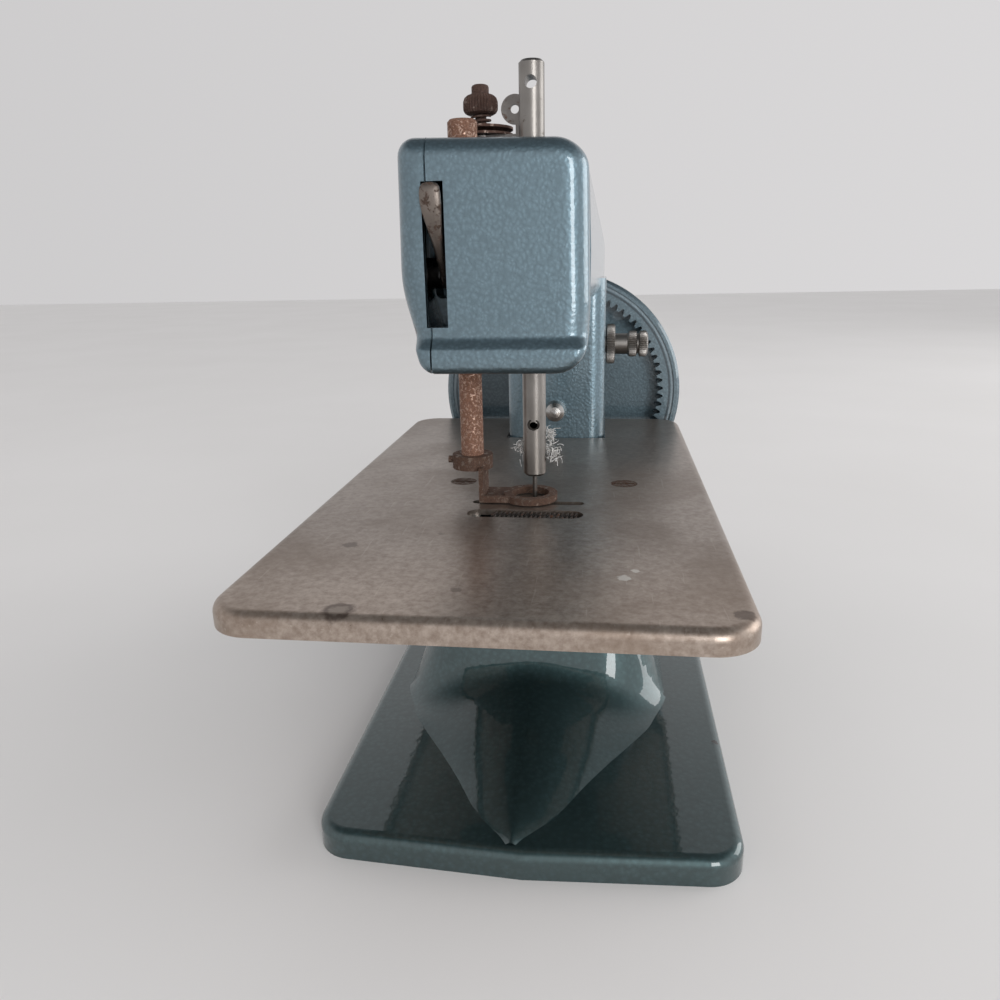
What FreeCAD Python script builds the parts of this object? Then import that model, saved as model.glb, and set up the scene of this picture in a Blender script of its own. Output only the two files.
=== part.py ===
import FreeCAD, Part
import math
import os
import Sketcher

# Toy sewing machine: a small cast machine with one hand wheel.
# Millimetres. Origin: centre of the base's underside. +Z is up, +X is the operator's side,
# and +Y runs along the arm from the needle to the hand wheel.

doc = FreeCAD.newDocument("ToySewingMachine")
Vector = FreeCAD.Vector

SIZES = {
    # Base casting
    "base_length": 176,
    "base_width": 108.4,
    "base_thickness": 7.6,
    "base_corner_radius": 9.5,
    "base_bow": 3,
    "base_edge_radius": 2.6,
    "base_skin": 3.4,
    "base_wall": 4.6,
    "base_rib": 6,
    "ridge_rise": 10,
    "pedestal_width": 86,
    "pedestal_rear_inset": 5,
    "pedestal_front_reach": 18,
    "pedestal_shift": 3,
    "pedestal_wall": 4.5,
    "pedestal_corner_radius": 12,
    "pedestal_taper": 14,
    "cove_radius": 26,
    # Heights and the needle axis
    "bed_height": 80,
    "needle_x": -1,
    "needle_y": -30,
    # Work plate
    "plate_width": 110.4,
    "plate_length": 199.4,
    "plate_front_reach": 81,
    "plate_side_shift": 6.6,
    "plate_thickness": 1.6,
    "plate_rim_depth": 5.2,
    "plate_corner_radius": 10,
    "plate_edge_radius": 2.4,
    "plate_notch_gap": 0.5,
    "slot_left_reach": 17.2,
    "slot_right_reach": 14,
    "far_slot_offset": 4.5,
    "far_slot_width": 3,
    "near_slot_offset": 14.6,
    "near_slot_width": 6.6,
    "needle_hole_diameter": 3,
    "plate_screw_spacing": 48.8,
    "plate_screw_offset": 16.5,
    "plate_screw_head_diameter": 8,
    "plate_screw_shank_diameter": 4,
    "plate_screw_length": 9,
    # Lower arm, the frame's limb under the work plate
    "lower_arm_width": 36,
    "lower_arm_depth": 34,
    "lower_arm_front_reach": 24,
    "lower_arm_wall": 3,
    "lower_arm_corner_radius": 4,
    "bearing_web": 6,
    "front_bearing_offset": 15,
    "lug_radius": 6,
    "lug_depth": 12,
    # Column, arm and head casting
    "column_width": 36.4,
    "column_front_reach": 79.4,
    "column_depth": 34.6,
    "column_corner_radius": 5.5,
    "casting_wall": 3,
    "head_left_reach": 33,
    "head_right_reach": 15,
    "head_front_reach": 13,
    "head_back_reach": 14,
    "head_bottom_rise": 37.4,
    "head_top_rise": 94,
    "head_edge_radius": 4.6,
    "head_crown_inset": 0.8,
    "head_chin_inset": 5.6,
    "head_chin_rise": 16,
    "head_lip_reach": 3,
    "head_lip_height": 4.4,
    "head_lip_sweep": 4.6,
    "head_top_fall": 1.3,
    "arm_bottom_rise": 52,
    "arm_rear_top_rise": 102,
    "arm_rear_corner_radius": 7,
    "arm_rear_narrowing": 7.4,
    "arm_rear_draft": 0.8,
    "arm_shoulder_share": 0.36,
    "seam_front_reach": 25,
    "seam_gap": 0.35,
    "seam_rear_reach": 9,
    "throat_cove_radius": 9,
    # Guides in the head
    "bar_diameter": 6.35,
    "bar_clearance": 0.05,
    "guide_boss_radius": 6,
    "guide_boss_length": 6,
    # Needle bar, needle and their drive
    "needle_bar_length": 104.3,
    "needle_bar_drop": 30.3,
    "needle_diameter": 1.3,
    "needle_socket_depth": 12,
    "needle_reach": 23,
    "thread_hole_diameter": 3,
    "thread_hole_inset": 5.2,
    "low_thread_hole_inset": 14.3,
    "set_screw_diameter": 2.4,
    "set_screw_length": 2.6,
    "set_screw_rise": 5,
    "needle_stroke": 20,
    "clamp_radius": 5.4,
    "clamp_height": 9,
    "pin_diameter": 3,
    "lever_thickness": 2.6,
    "lever_width": 9,
    "lever_gap": 0.6,
    "lever_pivot_reach": 65.7,
    "lever_rear_reach": 26.3,
    "lever_axis_drop": 24,
    "lever_pivot_diameter": 4,
    "lever_boss_radius": 5,
    # Lower shaft, gear pair and looper
    "gear_module": 1.0583,
    "ring_teeth": 78,
    "pinion_teeth": 13,
    "gear_backlash": 0.24,
    "shaft_diameter": 6,
    "running_clearance": 0.05,
    "bush_wall": 2,
    "bush_flange": 1,
    "bush_flange_rim": 1.6,
    "pinion_length": 6.4,
    "pinion_hub_radius": 5,
    "throw": 4,
    "eccentric_radius": 8,
    "strap_rim": 2.3,
    "strap_thickness": 2.6,
    "rod_offset": 96.2,
    "rod_leg": 2.2,
    "rod_neck": 5,
    "rod_gap": 0.8,
    "rod_eye_radius": 2.9,
    "looper_radius": 10.6,
    "looper_hub_radius": 5,
    "looper_hub_length": 7,
    "looper_thickness": 1.8,
    "looper_gap": 0.5,
    "feed_cam_radius": 7,
    "feed_cam_throw": 0.8,
    "feed_cam_width": 5,
    "feed_cam_offset": 30,
    "retainer_radius": 5,
    "retainer_length": 4,
    # Feed
    "feed_bar_width": 4,
    "feed_bar_height": 4,
    "feed_bar_drop": 5.5,
    "feed_bar_side": 8,
    "feed_dog_left_reach": 10.8,
    "feed_dog_right_reach": 12.6,
    "feed_dog_width": 5,
    "feed_dog_sink": 0.9,
    "feed_tooth_height": 0.8,
    "feed_tooth_pitch": 1.2,
    "feed_pivot_offset": 66,
    "feed_block_size": 9,
    "feed_pin_diameter": 3,
    "feed_follower_gap": 0.8,
    # Presser
    "presser_side": 17.7,
    "presser_forward": 0.7,
    "presser_top_rise": 99,
    "presser_bottom_rise": 9.6,
    "presser_collar_radius": 5,
    "presser_collar_height": 5,
    "presser_spring_wire": 0.9,
    "presser_spring_turns": 6,
    "foot_rise": 0.3,
    "foot_tab_radius": 5.7,
    "foot_sheet": 1.2,
    "foot_sole_front": 5,
    "foot_sole_back": 7,
    "foot_ring_radius": 7.6,
    "foot_ring_height": 1.9,
    "foot_hole_radius": 5.3,
    "foot_leg_side": 13.9,
    "foot_screw_diameter": 2,
    # Lifter
    "lifter_thickness": 2.4,
    "lifter_gap": 0.5,
    "lifter_axis_drop": 32,
    "lifter_cam_radius": 5,
    "lifter_tab_width": 4.9,
    "lifter_tab_height": 5.4,
    "lifter_tab_reach": 16.6,
    "lifter_tab_rise": 18,
    "lifter_neck": 4,
    "lifter_pin_diameter": 3,
    "slot_gap_left": 1,
    "slot_gap_right": 4.5,
    "slot_bottom_rise": 48.9,
    "slot_top_rise": 83.6,
    # Thread tension and guide
    "tension_side": 15,
    "tension_offset": 15,
    "tension_stud_diameter": 3,
    "tension_stud_top": 13.8,
    "tension_disc_radius": 8.6,
    "tension_disc_thickness": 0.6,
    "tension_disc_dish": 0.5,
    "tension_spring_wire": 0.6,
    "tension_spring_turns": 3,
    "tension_nut_radius": 4.65,
    "tension_nut_height": 4.8,
    "tension_nut_boss_radius": 2.4,
    "tension_nut_boss_height": 2.4,
    "tension_boss_radius": 5,
    "guide_sheet": 1,
    "guide_ear_side": 5.4,
    "guide_ear_radius": 3.6,
    "guide_ear_rise": 6.9,
    "guide_hole_diameter": 2.2,
    # Hand wheel
    "wheel_rise": 10.3,
    "wheel_radius": 49.5,
    "wheel_front_gap": 8.4,
    "wheel_depth": 13,
    "wheel_web": 3.2,
    "wheel_step_radius": 47.2,
    "wheel_step": 1,
    "wheel_groove_radius": 46.1,
    "wheel_hub_radius": 9,
    "wheel_hub_gap": 1,
    "ring_width": 8,
    "axle_diameter": 6,
    "axle_dome_diameter": 8,
    "axle_dome_height": 4.4,
    "axle_boss_radius": 7,
    "axle_nut_radius": 5.5,
    "axle_nut_height": 4.5,
    "axle_washer_radius": 7,
    "axle_washer": 1,
    "handle_radius": 34,
    "handle_stud_diameter": 4,
    "handle_length": 27,
    "handle_grip_radius": 7,
    "handle_head_radius": 3.2,
    "handle_head": 1.6,
    # Stitch length screw
    "stitch_rise": 33.2,
    "stitch_disc_radius": 7.5,
    "stitch_disc_thickness": 3.4,
    "stitch_gap": 0.3,
    "stitch_shank_radius": 3.3,
    "stitch_shank_length": 5.4,
    "stitch_knurl_radius": 4.9,
    "stitch_knurl_length": 6.8,
    "stitch_groove": 0.9,
    "stitch_thread_diameter": 4,
    "stitch_block": 7,
    # Small screws
    "small_screw_diameter": 3,
    "small_screw_head_radius": 2.8,
    "small_screw_head_height": 1.8,
    "screw_slot": 0.8,
    "cover_screw_length": 10,
    "cover_post_size": 5.6,
    "cover_post_rise": 12,
    "frame_screw_diameter": 5,
    "frame_screw_head_radius": 4.5,
    "frame_screw_head_height": 3,
    # How far a cutting tool runs past the face that it opens
    "overrun": 1,
}

sheet = doc.addObject("Spreadsheet::Sheet", "Sizes")
for row, (alias, number) in enumerate(SIZES.items(), start=1):
    sheet.set(f"A{row}", alias)
    sheet.set(f"B{row}", str(number))
    sheet.setAlias(f"B{row}", alias)
doc.recompute()


class Size:
    """A value together with the spreadsheet formula that gives it."""

    def __init__(self, formula, value):
        self.formula = formula
        self.value = float(value)

    def __float__(self):
        return self.value

    def __add__(self, other):
        return join(self, "+", other)

    def __radd__(self, other):
        return join(other, "+", self)

    def __sub__(self, other):
        return join(self, "-", other)

    def __rsub__(self, other):
        return join(other, "-", self)

    def __mul__(self, other):
        return join(self, "*", other)

    def __rmul__(self, other):
        return join(other, "*", self)

    def __truediv__(self, other):
        return join(self, "/", other)

    def __neg__(self):
        return Size(f"(-{self.formula})", -self.value)


def as_size(number):
    return number if isinstance(number, Size) else Size(f"({number:.6f})", number)


def join(left, sign, right):
    left = as_size(left)
    right = as_size(right)
    results = {
        "+": left.value + right.value,
        "-": left.value - right.value,
        "*": left.value * right.value,
        "/": left.value / right.value if right.value else 0,
    }
    return Size(f"({left.formula} {sign} {right.formula})", results[sign])


class Sheet:
    """Gives each named cell of the spreadsheet as a Size."""

    def __getattr__(self, alias):
        return Size(f"Sizes.{alias}", getattr(sheet, alias))


s = Sheet()
zero = Size("0", 0)

# Places that many pieces share, worked out from the sizes above.
bed_top = s.bed_height
plate_under = bed_top - s.plate_thickness
lower_arm_bottom = bed_top - s.lower_arm_depth
column_front = s.needle_y + s.column_front_reach
column_rear = column_front + s.column_depth
column_middle = column_front + s.column_depth / 2
head_top = bed_top + s.head_top_rise
head_bottom = bed_top + s.head_bottom_rise
head_front = s.needle_y - s.head_front_reach
head_back = s.needle_y + s.head_back_reach
head_left = s.needle_x - s.head_left_reach
head_right = s.needle_x + s.head_right_reach
arm_bottom = bed_top + s.arm_bottom_rise
arm_rear_top = bed_top + s.arm_rear_top_rise
wheel_z = bed_top + s.wheel_rise
pitch_radius = s.gear_module * s.ring_teeth / 2
pinion_radius = s.gear_module * s.pinion_teeth / 2
shaft_z = wheel_z - pitch_radius + pinion_radius
shaft_radius = s.shaft_diameter / 2
wheel_front = column_rear + s.wheel_front_gap
wheel_back = wheel_front + s.wheel_depth
web_front = wheel_back - s.wheel_web
presser_x = s.needle_x - s.presser_side
presser_y = s.needle_y + s.presser_forward
lever_z = head_top - s.lever_axis_drop
lever_pivot_y = s.needle_y + s.lever_pivot_reach
lever_rear_y = lever_pivot_y + s.lever_rear_reach
half_swing = s.needle_stroke / 2
rear_half_swing = half_swing * s.lever_rear_reach / s.lever_pivot_reach
bar_radius = s.bar_diameter / 2
guide_radius = bar_radius + s.bar_clearance

nodes = {}


# Helpers that make objects of the document

def bind(thing, prop, length):
    thing.setExpression(prop, as_size(length).formula)


TURNS = {
    "X": FreeCAD.Rotation(Vector(0, 1, 0), 90),
    "Y": FreeCAD.Rotation(Vector(1, 0, 0), -90),
    "Z": FreeCAD.Rotation(),
    "-X": FreeCAD.Rotation(Vector(0, 1, 0), -90),
    "-Y": FreeCAD.Rotation(Vector(1, 0, 0), 90),
    "-Z": FreeCAD.Rotation(Vector(1, 0, 0), 180),
}


def place(thing, spot, direction="Z"):
    """Put a thing at a spot given in sizes, its own Z turned to a direction."""
    thing.Placement = FreeCAD.Placement(Vector(0, 0, 0), TURNS[direction])
    for letter, length in zip("xyz", spot):
        bind(thing, f"Placement.Base.{letter}", length)


def block(name, low, high):
    """A box from its low corner to its high corner."""
    thing = doc.addObject("Part::Box", name)
    for prop, start, end in zip(("Length", "Width", "Height"), low, high):
        bind(thing, prop, end - start)
    place(thing, low)
    return thing


def rod(name, radius, length, spot, direction="Z"):
    """A round bar that starts at a spot."""
    thing = doc.addObject("Part::Cylinder", name)
    bind(thing, "Radius", radius)
    bind(thing, "Height", length)
    place(thing, spot, direction)
    return thing


def taper(name, first_radius, last_radius, length, spot, direction="Z"):
    thing = doc.addObject("Part::Cone", name)
    bind(thing, "Radius1", first_radius)
    bind(thing, "Radius2", last_radius)
    bind(thing, "Height", length)
    place(thing, spot, direction)
    return thing


def cut(name, base, tools):
    """A base with tools cut away from it one after the other."""
    result = base
    for number, tool in enumerate(tools, start=1):
        step = doc.addObject("Part::Cut", f"{name}_cut{number}")
        step.Base = result
        step.Tool = tool
        result = step
    return result


def fuse(name, pieces):
    thing = doc.addObject("Part::MultiFuse", f"{name}_whole")
    thing.Shapes = pieces
    return thing


def group(name, pieces):
    """Separate solids kept together as one node."""
    thing = doc.addObject("Part::Compound", f"{name}_group")
    thing.Links = pieces
    return thing


def shaped(name, shape):
    """A piece whose shape comes from Part's own functions."""
    thing = doc.addObject("Part::Feature", name)
    thing.Shape = shape
    return thing


def rounded(name, base, radius, wanted):
    """Round the edges of a piece that a test picks."""
    doc.recompute()
    thing = doc.addObject("Part::Fillet", f"{name}_rounded")
    thing.Base = base
    picked = [number for number, edge in enumerate(base.Shape.Edges, start=1) if wanted(edge)]
    thing.Edges = [(number, float(radius), float(radius)) for number in picked]
    return thing


def keep(name, thing):
    """Name a finished sub-part: its label names its file."""
    thing.Label = name
    nodes[name] = thing
    return thing


def plane_of(body, role):
    return next(item for item in body.Origin.OriginFeatures if item.Role == role)


def outline_sketch(body, name, role, points):
    """A closed outline of straight lines whose corners are bound to sizes."""
    sketch = body.newObject("Sketcher::SketchObject", name)
    sketch.AttachmentSupport = [(plane_of(body, role), "")]
    sketch.MapMode = "FlatFace"
    spots = [Vector(float(x), float(y), 0) for x, y in points]
    count = len(spots)
    for number in range(count):
        sketch.addGeometry(Part.LineSegment(spots[number], spots[(number + 1) % count]), False)
    for number in range(count):
        following = (number + 1) % count
        sketch.addConstraint(Sketcher.Constraint("Coincident", number, 2, following, 1))
    for number, (x, y) in enumerate(points):
        for kind, axis, length in (("DistanceX", -2, x), ("DistanceY", -1, y)):
            if float(length) == 0:
                sketch.addConstraint(Sketcher.Constraint("PointOnObject", number, 1, axis))
                continue
            made = sketch.addConstraint(
                Sketcher.Constraint(kind, -1, 1, number, 1, float(length)))
            bind(sketch, f"Constraints[{made}]", length)
    return sketch


def plate_body(name, role, points, thickness, spot):
    """A body padded from an outline on one of its planes, then put at a spot."""
    body = doc.addObject("PartDesign::Body", name)
    sketch = outline_sketch(body, f"{name}_outline", role, points)
    pad = body.newObject("PartDesign::Pad", f"{name}_pad")
    pad.Profile = sketch
    bind(pad, "Length", thickness)
    pad.Reversed = role == "XZ_Plane"
    sketch.Visibility = False
    place(body, spot)
    return body


def turned_body(name, profile, spot, direction="Z"):
    """A body turned about its own Z from an outline of radius and height."""
    body = doc.addObject("PartDesign::Body", name)
    sketch = outline_sketch(body, f"{name}_profile", "XZ_Plane", profile)
    turned = body.newObject("PartDesign::Revolution", f"{name}_turned")
    turned.Profile = sketch
    turned.ReferenceAxis = (sketch, ["V_Axis"])
    turned.Angle = 360
    sketch.Visibility = False
    place(body, spot, direction)
    return body


def body_pocket(body, name, role, points, depth):
    """A pocket cut upward from the body's own plane."""
    before = volume_of(body)
    sketch = outline_sketch(body, f"{name}_outline", role, points)
    pocket = body.newObject("PartDesign::Pocket", name)
    pocket.Profile = sketch
    bind(pocket, "Length", depth)
    pocket.Reversed = True
    sketch.Visibility = False
    if volume_of(body) >= before:
        raise RuntimeError(f"{name} cuts nothing")
    return pocket


def body_fillet(body, name, radius, wanted):
    """Round the edges of a body's last feature that a test picks."""
    doc.recompute()
    base = body.Tip
    picked = [f"Edge{number}" for number, edge in enumerate(base.Shape.Edges, start=1)
              if wanted(edge)]
    fillet = body.newObject("PartDesign::Fillet", name)
    fillet.Base = (base, picked)
    bind(fillet, "Radius", radius)
    return fillet


def volume_of(thing):
    doc.recompute()
    return thing.Shape.Volume


# Tests that pick edges

SAME = 0.0001


def runs_along(edge, letter):
    """True for a straight edge that runs along one axis."""
    if edge.Curve.TypeId != "Part::GeomLine":
        return False
    step = edge.Vertexes[-1].Point - edge.Vertexes[0].Point
    return abs(abs(getattr(step, letter)) - step.Length) < SAME


def lies_at(edge, letter, place_of_edge):
    """True for an edge that lies wholly at one height, depth or side."""
    box = edge.BoundBox
    ends = {"x": (box.XMin, box.XMax), "y": (box.YMin, box.YMax), "z": (box.ZMin, box.ZMax)}
    low, high = ends[letter]
    target = float(place_of_edge)
    return abs(low - target) < SAME and abs(high - target) < SAME


# Shapes with arcs, which the castings use

def corner_wire(corners, radii, to_space):
    """A closed wire through corners, each rounded by its own radius."""
    count = len(corners)
    flat = [(float(a), float(b)) for a, b in corners]
    starts = []
    ends = []
    middles = []
    for number in range(count):
        here = Vector(*flat[number], 0)
        back = (Vector(*flat[number - 1], 0) - here).normalize()
        ahead = (Vector(*flat[(number + 1) % count], 0) - here).normalize()
        half = back.getAngle(ahead) / 2
        radius = float(radii[number])
        along = radius / math.tan(half)
        centre = here + (back + ahead).normalize() * (radius / math.sin(half))
        starts.append(here + back * along)
        ends.append(here + ahead * along)
        middles.append(centre + (here - centre).normalize() * radius)
    edges = []
    for number in range(count):
        following = (number + 1) % count
        points = [to_space(spot) for spot in (starts[number], middles[number], ends[number])]
        if (points[0] - points[2]).Length > SAME:
            edges.append(Part.Arc(*points).toShape())
        else:
            points[2] = points[0]
        next_start = to_space(starts[following])
        if (next_start - points[2]).Length > SAME:
            edges.append(Part.LineSegment(points[2], next_start).toShape())
    return Part.Wire(Part.__sortEdges__(edges))


def upright(y):
    """Turns an outline of side and height into space at one depth."""
    depth = float(y)
    return lambda spot: Vector(spot.x, depth, spot.y)


def level(z):
    """Turns an outline of side and depth into space at one height."""
    height = float(z)
    return lambda spot: Vector(spot.x, spot.y, height)


def prism(wire, vector):
    return Part.Face(wire).extrude(vector)


def box_corners(left, right, low, high):
    return [(left, low), (right, low), (right, high), (left, high)]


# Base casting: a flat plate with rounded corners and a slightly bowed front, a low ridge
# that widens towards the back, and a pedestal that sweeps up from it in a wide cove.

half_width = s.base_width / 2
half_length = s.base_length / 2
base_plate = plate_body(
    "BasePlate", "XY_Plane",
    [(-half_width, s.base_bow - half_length), (zero, -half_length),
     (half_width, s.base_bow - half_length),
     (half_width, half_length), (-half_width, half_length)],
    s.base_thickness, (zero, zero, zero))
body_fillet(base_plate, "BaseCorners", s.base_corner_radius,
            lambda edge: runs_along(edge, "z"))
body_fillet(base_plate, "BaseTopEdge", s.base_edge_radius,
            lambda edge: lies_at(edge, "z", s.base_thickness))

pedestal_rear = half_length - s.pedestal_rear_inset
pedestal_front = s.needle_y + s.pedestal_front_reach
ridge_start = -half_length + s.base_edge_radius
ridge_length = pedestal_front - ridge_start
half_pedestal = s.pedestal_width / 2
ridge_shares = [(0.01, 0.02, 0.01), (0.15, 0.24, 0.13), (0.35, 0.42, 0.31),
                (0.57, 0.65, 0.55), (0.75, 0.80, 0.73), (1.0, 0.90, 1.0)]


def ridge_section(along_share, width_share, rise_share):
    """A flat triangle across the base, its foot sunk a little into the plate."""
    y = float(ridge_start + ridge_length * along_share)
    reach = float(half_pedestal * width_share)
    foot = float(s.base_thickness)
    sunk = foot - float(s.base_skin) / 2
    peak = foot + float(s.ridge_rise * rise_share)
    middle = -float(s.pedestal_shift)
    left = middle - reach
    right = middle + reach
    return Part.makePolygon([Vector(left, y, sunk), Vector(right, y, sunk),
                             Vector(right, y, foot), Vector(middle, y, peak),
                             Vector(left, y, foot), Vector(left, y, sunk)])


ridge = shaped("BaseRidge", Part.makeLoft([ridge_section(*row) for row in ridge_shares],
                                          True, True))
COVE_SHARES = (0, 0.02, 0.06, 0.12, 0.2, 0.3, 0.42, 0.56, 0.76, 1)


def pedestal_shape(inset, foot, top):
    """A stack of rounded rectangles that sweeps back and in from the foot to the top."""
    radius = float(s.cove_radius)
    rear = float(pedestal_rear) - inset
    corner = float(s.pedestal_corner_radius)
    middle = -float(s.pedestal_shift)
    wires = []
    for rise_share in COVE_SHARES:
        rise = radius * rise_share
        reach = radius - math.sqrt(radius * radius - (radius - rise) ** 2)
        front = float(pedestal_front) - radius + (radius - reach) + inset
        side = float(half_pedestal) - float(s.pedestal_taper) * rise_share - inset
        turn = corner + (radius - corner) * (1 - rise_share) ** 2 - inset
        height = float(foot) + (float(top) - float(foot)) * rise_share
        back_turn = max(corner - inset, corner / 2)
        turns = [turn, turn, back_turn, back_turn]
        outline = box_corners(middle - side, middle + side, front, rear)
        wires.append(corner_wire(outline, turns, level(height)))
    return Part.makeLoft(wires, True, True)


sunk_foot = s.base_thickness - s.base_skin / 2
pedestal = shaped("Pedestal", pedestal_shape(0, sunk_foot, lower_arm_bottom))
pedestal_hollow = shaped("PedestalHollow", pedestal_shape(
    float(s.pedestal_wall), sunk_foot, lower_arm_bottom - s.pedestal_wall))
pedestal_mouth = block("PedestalMouth",
                       (s.pedestal_wall * 2 + s.pedestal_taper - half_pedestal,
                        pedestal_front, -s.overrun),
                       (half_pedestal - s.pedestal_taper - s.pedestal_wall * 2,
                        pedestal_rear - s.pedestal_wall * 2, sunk_foot + s.overrun))
hollow_reach = half_width - s.base_wall
hollow_end = half_length - s.base_wall
half_rib = s.base_rib / 2
hollow_front = s.base_bow - hollow_end
hollow_top = s.base_thickness - s.base_skin
base_hollows = [
    block("BaseHollowFrontLeft", (-hollow_reach, hollow_front, -s.overrun),
          (-half_rib, -half_rib, hollow_top)),
    block("BaseHollowFrontRight", (half_rib, hollow_front, -s.overrun),
          (hollow_reach, -half_rib, hollow_top)),
]
base_rib_piece = block("BaseRib", (-half_rib, -half_rib, zero),
                       (half_rib, pedestal_rear, s.base_thickness - s.base_skin / 2))
rod_y = s.needle_y + s.rod_offset
rod_front = rod_y - s.strap_thickness / 2
rod_rear = rod_y + s.strap_thickness / 2
rear_screws_y = rod_front - s.frame_screw_head_radius - s.rod_gap
frame_screw_spots = [(zero, column_front),
                     (-s.lower_arm_width / 4, rear_screws_y),
                     (s.lower_arm_width / 4, rear_screws_y)]
strap_outer = s.eccentric_radius + s.running_clearance + s.strap_rim
window_reach = strap_outer + s.rod_gap * 2
rod_window = block("PedestalRodWindow",
                   (-window_reach, rod_front - s.rod_gap,
                    lower_arm_bottom - s.pedestal_wall - s.overrun),
                   (window_reach, rod_rear + s.rod_gap, lower_arm_bottom + s.overrun))
screw_holes = [
    rod(f"FrameScrewHole{number}", s.frame_screw_diameter / 2 + s.running_clearance,
        s.pedestal_wall + s.overrun * 2,
        (x, y, lower_arm_bottom - s.pedestal_wall - s.overrun))
    for number, (x, y) in enumerate(frame_screw_spots, start=1)
]
base_body = fuse("Base", [base_plate, ridge, pedestal])
base_open = cut("BaseOpen", base_body, [pedestal_hollow, pedestal_mouth] + base_hollows)
base_ribbed = fuse("BaseRibbed", [base_open, base_rib_piece])
keep("base_casting", cut("BaseDone", base_ribbed, screw_holes + [rod_window]))

# Lower arm: a deep channel under the work plate, open above and below, with a wall
# round it, a web that holds the front bearing and two lugs for the plate's screws.

arm_half = s.lower_arm_width / 2
lower_arm_front = s.needle_y - s.lower_arm_front_reach
inner_half = arm_half - s.lower_arm_wall
lower_arm_block = rounded(
    "LowerArmOuter",
    block("LowerArmBlock", (-arm_half, lower_arm_front, lower_arm_bottom),
          (arm_half, column_rear, plate_under)),
    s.lower_arm_corner_radius,
    lambda edge: runs_along(edge, "z"))
web_rear = s.needle_y + s.front_bearing_offset + s.bearing_web
web_front_y = s.needle_y + s.front_bearing_offset
bush_radius = shaft_radius + s.running_clearance + s.bush_wall
front_room = block("LowerArmFrontRoom",
                   (-inner_half, lower_arm_front + s.lower_arm_wall,
                    lower_arm_bottom - s.overrun),
                   (inner_half, web_front_y, plate_under + s.overrun))
rear_room = block("LowerArmRearRoom",
                  (-inner_half, web_rear, lower_arm_bottom + s.lower_arm_wall),
                  (inner_half, column_rear - s.bearing_web, plate_under + s.overrun))
lug_spots = [(-s.plate_screw_spacing / 2, -1), (s.plate_screw_spacing / 2, 1)]
lug_y = s.needle_y + s.plate_screw_offset
lugs = []
for side, sign in lug_spots:
    side_name = "Left" if sign < 0 else "Right"
    lugs.append(rod(f"Lug{side_name}", s.lug_radius, s.lug_depth,
                    (side, lug_y, plate_under - s.lug_depth)))
    inner = arm_half - s.lower_arm_wall / 2
    low_x = side if sign < 0 else inner
    high_x = -inner if sign < 0 else side
    lugs.append(block(f"LugWeb{side_name}",
                      (low_x, lug_y - s.lug_radius, plate_under - s.lug_depth),
                      (high_x, lug_y + s.lug_radius, plate_under)))
lower_arm_body = fuse("LowerArmBody", [lower_arm_block] + lugs)
bearing_holes = [rod("LowerArmBore", bush_radius, column_rear - lower_arm_front,
                     (zero, web_front_y - s.overrun, shaft_z), "Y")]
lug_holes = [
    rod(f"LugHole{number}", s.plate_screw_shank_diameter / 2 + s.running_clearance,
        s.plate_screw_length, (side, lug_y, plate_under - s.plate_screw_length), "Z")
    for number, (side, sign) in enumerate(lug_spots, start=1)
]
feed_passage = block("FeedPassage",
                     (s.needle_x - s.feed_bar_side - s.feed_bar_width * 1.5,
                      web_front_y - s.overrun,
                      bed_top - s.feed_bar_drop - s.feed_bar_height * 1.5),
                     (s.needle_x - s.feed_bar_side + s.feed_bar_width * 1.5,
                      web_rear + s.overrun, plate_under + s.overrun))
frame_thread_holes = [
    rod(f"FrameThread{number}", s.frame_screw_diameter / 2 + s.running_clearance,
        s.lower_arm_wall + s.overrun * 2, (x, y, lower_arm_bottom - s.overrun))
    for number, (x, y) in enumerate(frame_screw_spots, start=1)
]
feed_cam_y = s.needle_y + s.feed_cam_offset
cam_window_half = s.feed_cam_width / 2 + s.rod_gap
floor_low = lower_arm_bottom - s.overrun
floor_high = lower_arm_bottom + s.lower_arm_wall + s.overrun
floor_windows = [
    block("ArmRodWindow", (-inner_half, rod_front - s.rod_gap, floor_low),
          (inner_half, rod_rear + s.rod_gap, floor_high)),
    block("ArmCamWindow", (-s.feed_cam_radius, feed_cam_y - cam_window_half, floor_low),
          (s.feed_cam_radius, feed_cam_y + cam_window_half, floor_high)),
]
keep("lower_arm", cut("LowerArmDone", lower_arm_body,
                      [front_room, rear_room, feed_passage] + bearing_holes + lug_holes
                      + frame_thread_holes + floor_windows))

# Screws from inside the pedestal up into the lower arm.

frame_screws = []
for number, (x, y) in enumerate(frame_screw_spots, start=1):
    under = lower_arm_bottom - s.pedestal_wall
    frame_screws.append(turned_body(
        f"FrameScrew{number}",
        [(zero, -s.frame_screw_head_height), (s.frame_screw_head_radius, -s.frame_screw_head_height),
         (s.frame_screw_head_radius, zero), (s.frame_screw_diameter / 2, zero),
         (s.frame_screw_diameter / 2, s.pedestal_wall + s.lower_arm_wall),
         (zero, s.pedestal_wall + s.lower_arm_wall)],
        (x, y, under)))
keep("frame_screws", group("FrameScrews", frame_screws))

# Work plate: pressed sheet with a rim turned down all round, a notch for the column, two
# slots for the feed, a needle hole and two countersunk screws.

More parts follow.
